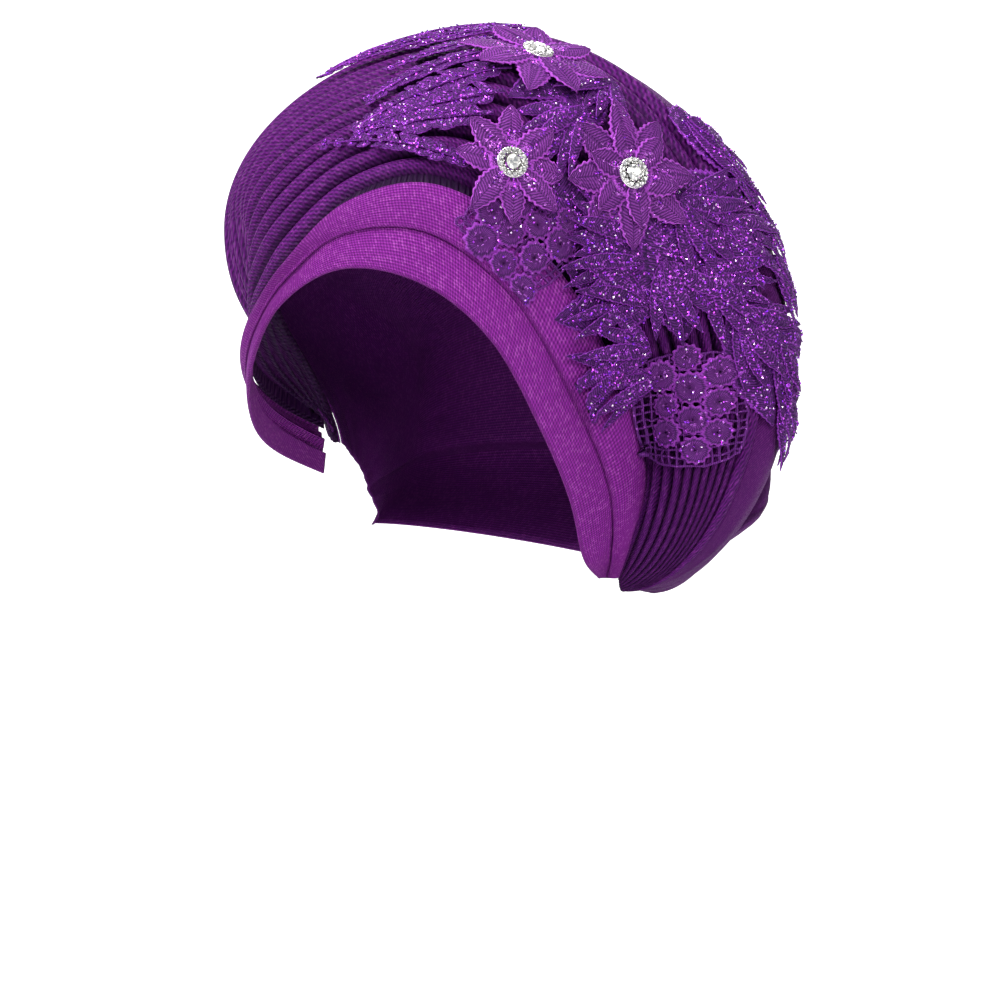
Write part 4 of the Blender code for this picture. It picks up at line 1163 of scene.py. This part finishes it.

# %% [markdown]
# ## The weave
# The cloth is a stiff honeycomb weave: small raised cells in slanting rows, with dark pits between
# them, and threads with a satin shine. It is a bump, because a cell is only a millimetre or two wide,
# and painted light as well: the pits get painted shade, the raised cells a lighter colour and a few of
# them painted glints. One node group holds the weave, so that the bands, the pleats and the drape each
# set their own scale.

# %% Weave group
def group(name, inputs, outputs):
    """A shader node group with named sockets, given as (name, kind, default)."""
    made = bpy.data.node_groups.new(name, "ShaderNodeTree")
    for socket_name, kind, default in inputs:
        socket = made.interface.new_socket(socket_name, in_out="INPUT", socket_type="NodeSocket" + kind)
        if default is not None:
            socket.default_value = default
    for socket_name, kind in outputs:
        made.interface.new_socket(socket_name, in_out="OUTPUT", socket_type="NodeSocket" + kind)
    return made, made.nodes.new("NodeGroupInput"), made.nodes.new("NodeGroupOutput")


weave, ins, outs = group("honeycomb_weave",
                         (("Cloth", "Vector", None), ("Cell", "Float", 0.0013), ("Stretch", "Float", 1.0),
                          ("Braid", "Float", 0.0)),
                         (("Height", "Float"), ("Painted light", "Float"), ("Glint", "Float")))
parts = node(weave, "SeparateXYZ", {0: ins.outputs["Cloth"]})
across = maths(weave, "DIVIDE", parts.outputs["X"], ins.outputs["Cell"])
down = maths(weave, "DIVIDE", parts.outputs["Y"], ins.outputs["Cell"])
down = maths(weave, "DIVIDE", down, ins.outputs["Stretch"])
wobble = node(weave, "TexNoise", {"Vector": ins.outputs["Cloth"], "Scale": 420.0, "Detail": 2.0})
push = maths(weave, "MULTIPLY_ADD", wobble.outputs["Fac"], 0.5, -0.25)
rows_wave = maths(weave, "ADD", across, maths(weave, "MULTIPLY_ADD", down, 0.30, push))
slant_a = maths(weave, "SINE", maths(weave, "MULTIPLY", maths(weave, "ADD", rows_wave, down), math.pi))
slant_b = maths(weave, "SINE", maths(weave, "MULTIPLY", maths(weave, "SUBTRACT", rows_wave, down), math.pi))
cells = maths(weave, "MULTIPLY", slant_a, slant_b)
slope = maths(weave, "MULTIPLY_ADD", down, 0.8, maths(weave, "MULTIPLY", across, 0.6))
braid = maths(weave, "SINE", maths(weave, "MULTIPLY", maths(weave, "ADD", slope, push), 2 * math.pi))
cells = mixed(weave, ins.outputs["Braid"], cells, braid)
height = maths(weave, "MULTIPLY_ADD", cells, 0.5, 0.5)
weave.links.new(height, outs.inputs["Height"])
weave.links.new(maths(weave, "POWER", height, 1.4), outs.inputs["Painted light"])
speck = node(weave, "TexWhiteNoise", {"Vector": node(weave, "VectorMath", {
    0: node(weave, "CombineXYZ",
             {0: maths(weave, "FLOOR", rows_wave), 1: maths(weave, "FLOOR", down)}).outputs[0]},
    operation="SCALE").outputs[0]})
weave.links.new(speck.outputs["Value"], outs.inputs["Glint"])


# %% Cloth materials
def cloth_material(name, deep, middle, bright, cell, stretch, bump, braid=0.0, sheen=0.05):
    made, tree, shader = material(name)
    flat = node(tree, "UVMap", uv_map="flat_cloth").outputs["UV"]
    honey = node(tree, "Group", node_tree=weave)
    tree.links.new(flat, honey.inputs["Cloth"])
    honey.inputs["Cell"].default_value = cell
    honey.inputs["Stretch"].default_value = stretch
    honey.inputs["Braid"].default_value = braid
    crease = node(tree, "SeparateXYZ", {0: node(tree, "UVMap", uv_map="crease").outputs["UV"]}).outputs["X"]
    shade = node(tree, "TexNoise", {"Vector": flat, "Scale": 22.0, "Detail": 3.0}).outputs["Fac"]
    # Painted shade in the pits: the colour runs from deep in the pits to middle on the raised cells.
    ground = mixed(tree, honey.outputs["Painted light"], deep, middle)
    # Painted glints: a share of the raised cells is painted in the bright colour.
    glints = maths(tree, "GREATER_THAN", honey.outputs["Glint"], 0.80)
    top = maths(tree, "MULTIPLY", glints, honey.outputs["Painted light"])
    ground = mixed(tree, maths(tree, "MULTIPLY", top, 0.40), ground, bright)
    ground = mixed(tree, maths(tree, "MULTIPLY_ADD", shade, 0.5, -0.10, clamp=True), ground, deep)
    # Painted shade: the pleat valleys are darkened towards a dim copy of the deep colour.
    shadow = tuple(0.35 * channel for channel in deep)
    ground = mixed(tree, maths(tree, "MULTIPLY", crease, 0.9), ground, shadow)
    tree.links.new(ground, shader.inputs["Base Color"])
    rough = maths(tree, "MULTIPLY_ADD", honey.outputs["Glint"], -0.18, 0.62)
    tree.links.new(rough, shader.inputs["Roughness"])
    shader.inputs["Sheen Weight"].default_value = sheen
    shader.inputs["Sheen Roughness"].default_value = 0.35
    shader.inputs["Sheen Tint"].default_value = (0.8, 0.25, 0.9, 1)
    shader.inputs["Specular IOR Level"].default_value = 0.10
    relief = node(tree, "Bump", {"Height": honey.outputs["Height"], "Strength": 1.0, "Distance": bump})
    tree.links.new(relief.outputs["Normal"], shader.inputs["Normal"])
    return made


# Painted light: the bands, the pleats and the drape are one cloth, given a lit copy of its colours on the
# brow bands and darker, shaded copies on the pleats and the drape.
LIT_BAND_COLOURS = ((0.10, 0.005, 0.14), (0.37, 0.036, 0.42), (0.66, 0.15, 0.68))
SHADED_PLEAT_COLOURS = ((0.026, 0.001, 0.050), (0.155, 0.010, 0.21), (0.30, 0.045, 0.36))
SHADED_DRAPE_COLOURS = ((0.045, 0.003, 0.075), (0.18, 0.016, 0.23), (0.34, 0.06, 0.38))
band_cloth = cloth_material("band_cloth", *LIT_BAND_COLOURS, 0.0013, 1.0, 0.0005)
pleat_cloth = cloth_material("pleat_cloth", *SHADED_PLEAT_COLOURS, 0.0023, 1.0, 0.0006, braid=0.5)
drape_cloth = cloth_material("drape_cloth", *SHADED_DRAPE_COLOURS, 0.0012, 1.0, 0.0003)
for piece in (brow, over):
    piece.data.materials.append(band_cloth)
for piece in (fan, crest):
    piece.data.materials.append(pleat_cloth)
drape.data.materials.append(drape_cloth)

# %% [markdown]
# ## Thread, sequins, silver and stones
# Satin stitch shines along its threads, and this shine is painted into the colour: its light and dark
# follow the stitches that lean out from the midrib. The corded rims are painted paler as if lit, and
# painted shadow lines run inside the cord and along the midrib, with painted shade near the root.
# The lace between carries glitter: small cells, some of which are bright. Sequins are coloured
# mirrors. The stones have foil behind them, so they are bright and not see-through, and each flat
# facet is painted dark or bright for the light that it mirrors.

# %% Stitch and glitter groups
stitch, ins, outs = group("satin_stitch",
                          (("Cloth", "Vector", None), ("Pitch", "Float", 0.0009), ("Lean", "Float", 0.55)),
                          (("Height", "Float"), ("Painted light", "Float")))
parts = node(stitch, "SeparateXYZ", {0: ins.outputs["Cloth"]})
out_from_rib = maths(stitch, "ABSOLUTE", parts.outputs["Y"])
run = maths(stitch, "MULTIPLY_ADD", out_from_rib, ins.outputs["Lean"], parts.outputs["X"])
turns = maths(stitch, "DIVIDE", run, ins.outputs["Pitch"])
wave = maths(stitch, "SINE", maths(stitch, "MULTIPLY", turns, 2 * math.pi))
threads = maths(stitch, "SINE", maths(stitch, "MULTIPLY", turns, 6 * math.pi))
height = maths(stitch, "MULTIPLY_ADD", threads, 0.18, maths(stitch, "MULTIPLY_ADD", wave, 0.32, 0.5))
stitch.links.new(height, outs.inputs["Height"])
stitch.links.new(maths(stitch, "POWER", height, 1.5, clamp=True), outs.inputs["Painted light"])

glitter, ins, outs = group("glitter_dust",
                           (("Place", "Vector", None), ("Size", "Float", 0.0008), ("Cover", "Float", 0.4)),
                           (("Mask", "Float"), ("Tone", "Float"), ("Height", "Float")))
scale = maths(glitter, "DIVIDE", 1.0, ins.outputs["Size"])
cells = node(glitter, "TexVoronoi", {"Vector": ins.outputs["Place"], "Scale": scale})
split = node(glitter, "SeparateColor", {0: cells.outputs["Color"]})
chosen = maths(glitter, "LESS_THAN", split.outputs[0], ins.outputs["Cover"])
glitter.links.new(chosen, outs.inputs["Mask"])
glitter.links.new(split.outputs[1], outs.inputs["Tone"])
glitter.links.new(maths(glitter, "MULTIPLY", chosen, split.outputs[2]), outs.inputs["Height"])


# %% Thread materials
def thread_material(name, deep, middle, bright, pitch, cover, heart=0.0, cord=0.0):
    """Stitched lace: leaning satin threads with a share of glitter between them."""
    made, tree, shader = material(name)
    place = node(tree, "TexCoord").outputs["Object"]
    flat = node(tree, "UVMap", uv_map="flat_cloth").outputs["UV"] if cord else place
    satin = node(tree, "Group", node_tree=stitch)
    tree.links.new(flat, satin.inputs["Cloth"])
    satin.inputs["Pitch"].default_value = pitch
    dust = node(tree, "Group", node_tree=glitter)
    tree.links.new(place, dust.inputs["Place"])
    dust.inputs["Cover"].default_value = cover
    if cord:
        shares = node(tree, "SeparateXYZ", {0: node(tree, "UVMap", uv_map="blade").outputs["UV"]})
        side = maths(tree, "ABSOLUTE", shares.outputs["Y"])
        rim = maths(tree, "MULTIPLY_ADD", side, 12.0, -9.8, clamp=True)
        # Painted shadow: dark lines inside the cord and along the midrib.
        groove = maths(tree, "MULTIPLY", maths(tree, "ABSOLUTE", maths(tree, "SUBTRACT", side, 0.73)), 14.0)
        shadow_lines = maths(tree, "MINIMUM", groove, maths(tree, "MULTIPLY", side, 14.0))
        shadow_lines = maths(tree, "SUBTRACT", 1.0, shadow_lines, clamp=True)
        # Painted shade near the root and in the middle of a blade, where the glitter is also thicker.
        near_root = maths(tree, "MULTIPLY_ADD", shares.outputs["X"], -4.0, 2.5, clamp=True)
        inner = maths(tree, "MULTIPLY_ADD", side, -5.0, 2.6, clamp=True)
        root_shade_and_glitter = maths(tree, "MULTIPLY", maths(tree, "MULTIPLY", near_root, inner), heart)
        tree.links.new(maths(tree, "ADD", root_shade_and_glitter, cover), dust.inputs["Cover"])
    cloudy = node(tree, "TexNoise", {"Vector": place, "Scale": 60.0, "Detail": 3.0}).outputs["Fac"]
    # Painted sheen and shade: the colour runs from deep between the stitches to middle on their crowns.
    ground = mixed(tree, satin.outputs["Painted light"], deep, middle)
    ground = mixed(tree, maths(tree, "MULTIPLY_ADD", cloudy, 0.9, -0.30, clamp=True), ground, deep)
    if cord:
        # Painted shadow lines inside the cord and along the midrib.
        ground = mixed(tree, maths(tree, "MULTIPLY", shadow_lines, 0.85), ground, deep)
        # Painted shade near the root.
        ground = mixed(tree, root_shade_and_glitter, ground, deep)
        # Painted highlight: the corded rim is painted in a paler copy of the middle colour, as if it catches
        # the light.
        pale = tuple(cord * channel for channel in middle)
        lit_rim_thread = mixed(tree, satin.outputs["Painted light"], middle, pale)
        ground = mixed(tree, rim, ground, lit_rim_thread)
    glow = mixed(tree, dust.outputs["Tone"], middle, bright)
    ground = mixed(tree, maths(tree, "MULTIPLY", dust.outputs["Mask"], 0.9), ground, glow)
    tree.links.new(ground, shader.inputs["Base Color"])
    tree.links.new(maths(tree, "MULTIPLY_ADD", dust.outputs["Mask"], -0.36, 0.58), shader.inputs["Roughness"])
    tree.links.new(maths(tree, "MULTIPLY", dust.outputs["Mask"], 0.7), shader.inputs["Metallic"])
    shader.inputs["Specular IOR Level"].default_value = 0.18
    shader.inputs["Sheen Weight"].default_value = 0.05
    shader.inputs["Sheen Roughness"].default_value = 0.4
    shader.inputs["Sheen Tint"].default_value = (0.75, 0.3, 0.95, 1)
    low = node(tree, "Bump", {"Height": satin.outputs["Height"], "Strength": 1.0, "Distance": 0.00018})
    high = node(tree, "Bump", {"Height": dust.outputs["Height"], "Strength": 0.8, "Distance": 0.0003,
                               "Normal": low.outputs["Normal"]})
    tree.links.new(high.outputs["Normal"], shader.inputs["Normal"])
    return made


petal_thread = thread_material("petal_thread", (0.035, 0.002, 0.070), (0.34, 0.055, 0.46), (0.62, 0.20, 0.80),
                               STITCH_PITCH, 0.02, heart=0.55, cord=1.25)
leaf_thread = thread_material("leaf_thread", (0.018, 0.001, 0.042), (0.17, 0.020, 0.28), (0.60, 0.12, 0.90),
                              STITCH_PITCH, 0.12, heart=0.15, cord=1.8)
net_thread = thread_material("net_thread", (0.05, 0.004, 0.09), (0.22, 0.030, 0.33), (0.60, 0.15, 0.80),
                             0.0009, 0.06)
floret_thread = thread_material("floret_thread", (0.03, 0.002, 0.06), (0.24, 0.032, 0.35), (0.60, 0.18, 0.80),
                                0.0012, 0.03, heart=0.25, cord=1.25)

# %% Sequin, silver and stone
sequin_foil, tree, shader = material("sequin_foil")
tone = node(tree, "SeparateXYZ", {0: node(tree, "UVMap", uv_map="tone").outputs["UV"]}).outputs["X"]
warm = mixed(tree, tone, (0.22, 0.03, 0.75), (0.75, 0.10, 0.85))
pale = mixed(tree, maths(tree, "GREATER_THAN", tone, 0.88), warm, (0.95, 0.75, 1.0))
tree.links.new(pale, shader.inputs["Base Color"])
shader.inputs["Metallic"].default_value = 0.9
tree.links.new(maths(tree, "MULTIPLY_ADD", tone, 0.14, 0.14), shader.inputs["Roughness"])

silver, tree, shader = material("silver_plate")
shader.inputs["Base Color"].default_value = (0.80, 0.79, 0.77, 1)
shader.inputs["Metallic"].default_value = 1.0
rub = node(tree, "TexNoise",
           {"Vector": node(tree, "TexCoord").outputs["Object"], "Scale": 900.0}).outputs["Fac"]
tree.links.new(maths(tree, "MULTIPLY_ADD", rub, 0.2, 0.1), shader.inputs["Roughness"])

stone, tree, shader = material("foiled_stone")
# Painted reflection: each flat facet gets a dark or bright colour of its own, from a noise of its normal, for
# the light it mirrors.
facet_reflection = node(tree, "TexWhiteNoise", {"Vector": node(tree, "TexCoord").outputs["Normal"]}).outputs["Value"]
tone = maths(tree, "POWER", facet_reflection, 1.5)
tree.links.new(mixed(tree, tone, (0.30, 0.31, 0.33), (1.0, 0.98, 0.93)), shader.inputs["Base Color"])
shader.inputs["Metallic"].default_value = 0.55
shader.inputs["Roughness"].default_value = 0.06
shader.inputs["Coat Weight"].default_value = 1.0

for piece in [*flowers.values(), hearts]:
    piece.data.materials.append(petal_thread)
for piece in [*leaf_pieces.values(), *frond_pieces.values()]:
    piece.data.materials.append(leaf_thread)
for piece in nets.values():
    piece.data.materials.append(net_thread)
for piece in (florets, buds):
    piece.data.materials.append(floret_thread)
sequins.data.materials.append(sequin_foil)
for cup_piece, gem_piece in brooches.values():
    cup_piece.data.materials.append(silver)
    gem_piece.data.materials.append(stone)

# %% Dress the trim
for name, piece in flowers.items():
    dress(piece, "petal_thread", name)
dress(hearts, "petal_thread")
dress(leaf_pieces["side_front_leaves"], "lace_thread", "spray_side_front")
dress(leaf_pieces["rear_upper_leaves"], "lace_thread", "spray_rear_upper")
dress(leaf_pieces["side_upper_leaves"], "lace_thread", "spray_side_upper")
dress(leaf_pieces["side_lower_leaves"], "lace_thread", "spray_side_lower")
dress(frond_pieces["front_fronds"], "lace_thread", "spray_front")
dress(frond_pieces["crest_fronds"], "lace_thread", "spray_crest")
dress(frond_pieces["brow_fronds"], "lace_thread", "spray_brow")
dress(nets["front_net"], "net_thread", "net_front")
dress(nets["side_net"], "net_thread", "net_side")
dress(florets, "net_thread")
dress(buds, "net_thread")
dress(sequins, "lace_thread")
for name, (cup_piece, gem_piece) in brooches.items():
    dress(cup_piece, "silver", name + "_setting")
    dress(gem_piece, "clear_stone", name + "_stone")

# %% Dress the cloth
dress(brow, "band_cloth", "brow_band")
dress(over, "band_cloth", "over_band")
dress(fan, "pleat_cloth", "pleated_fan")
dress(crest, "pleat_cloth", "crest_roll")
dress(drape, "drape_cloth", "back_drape")
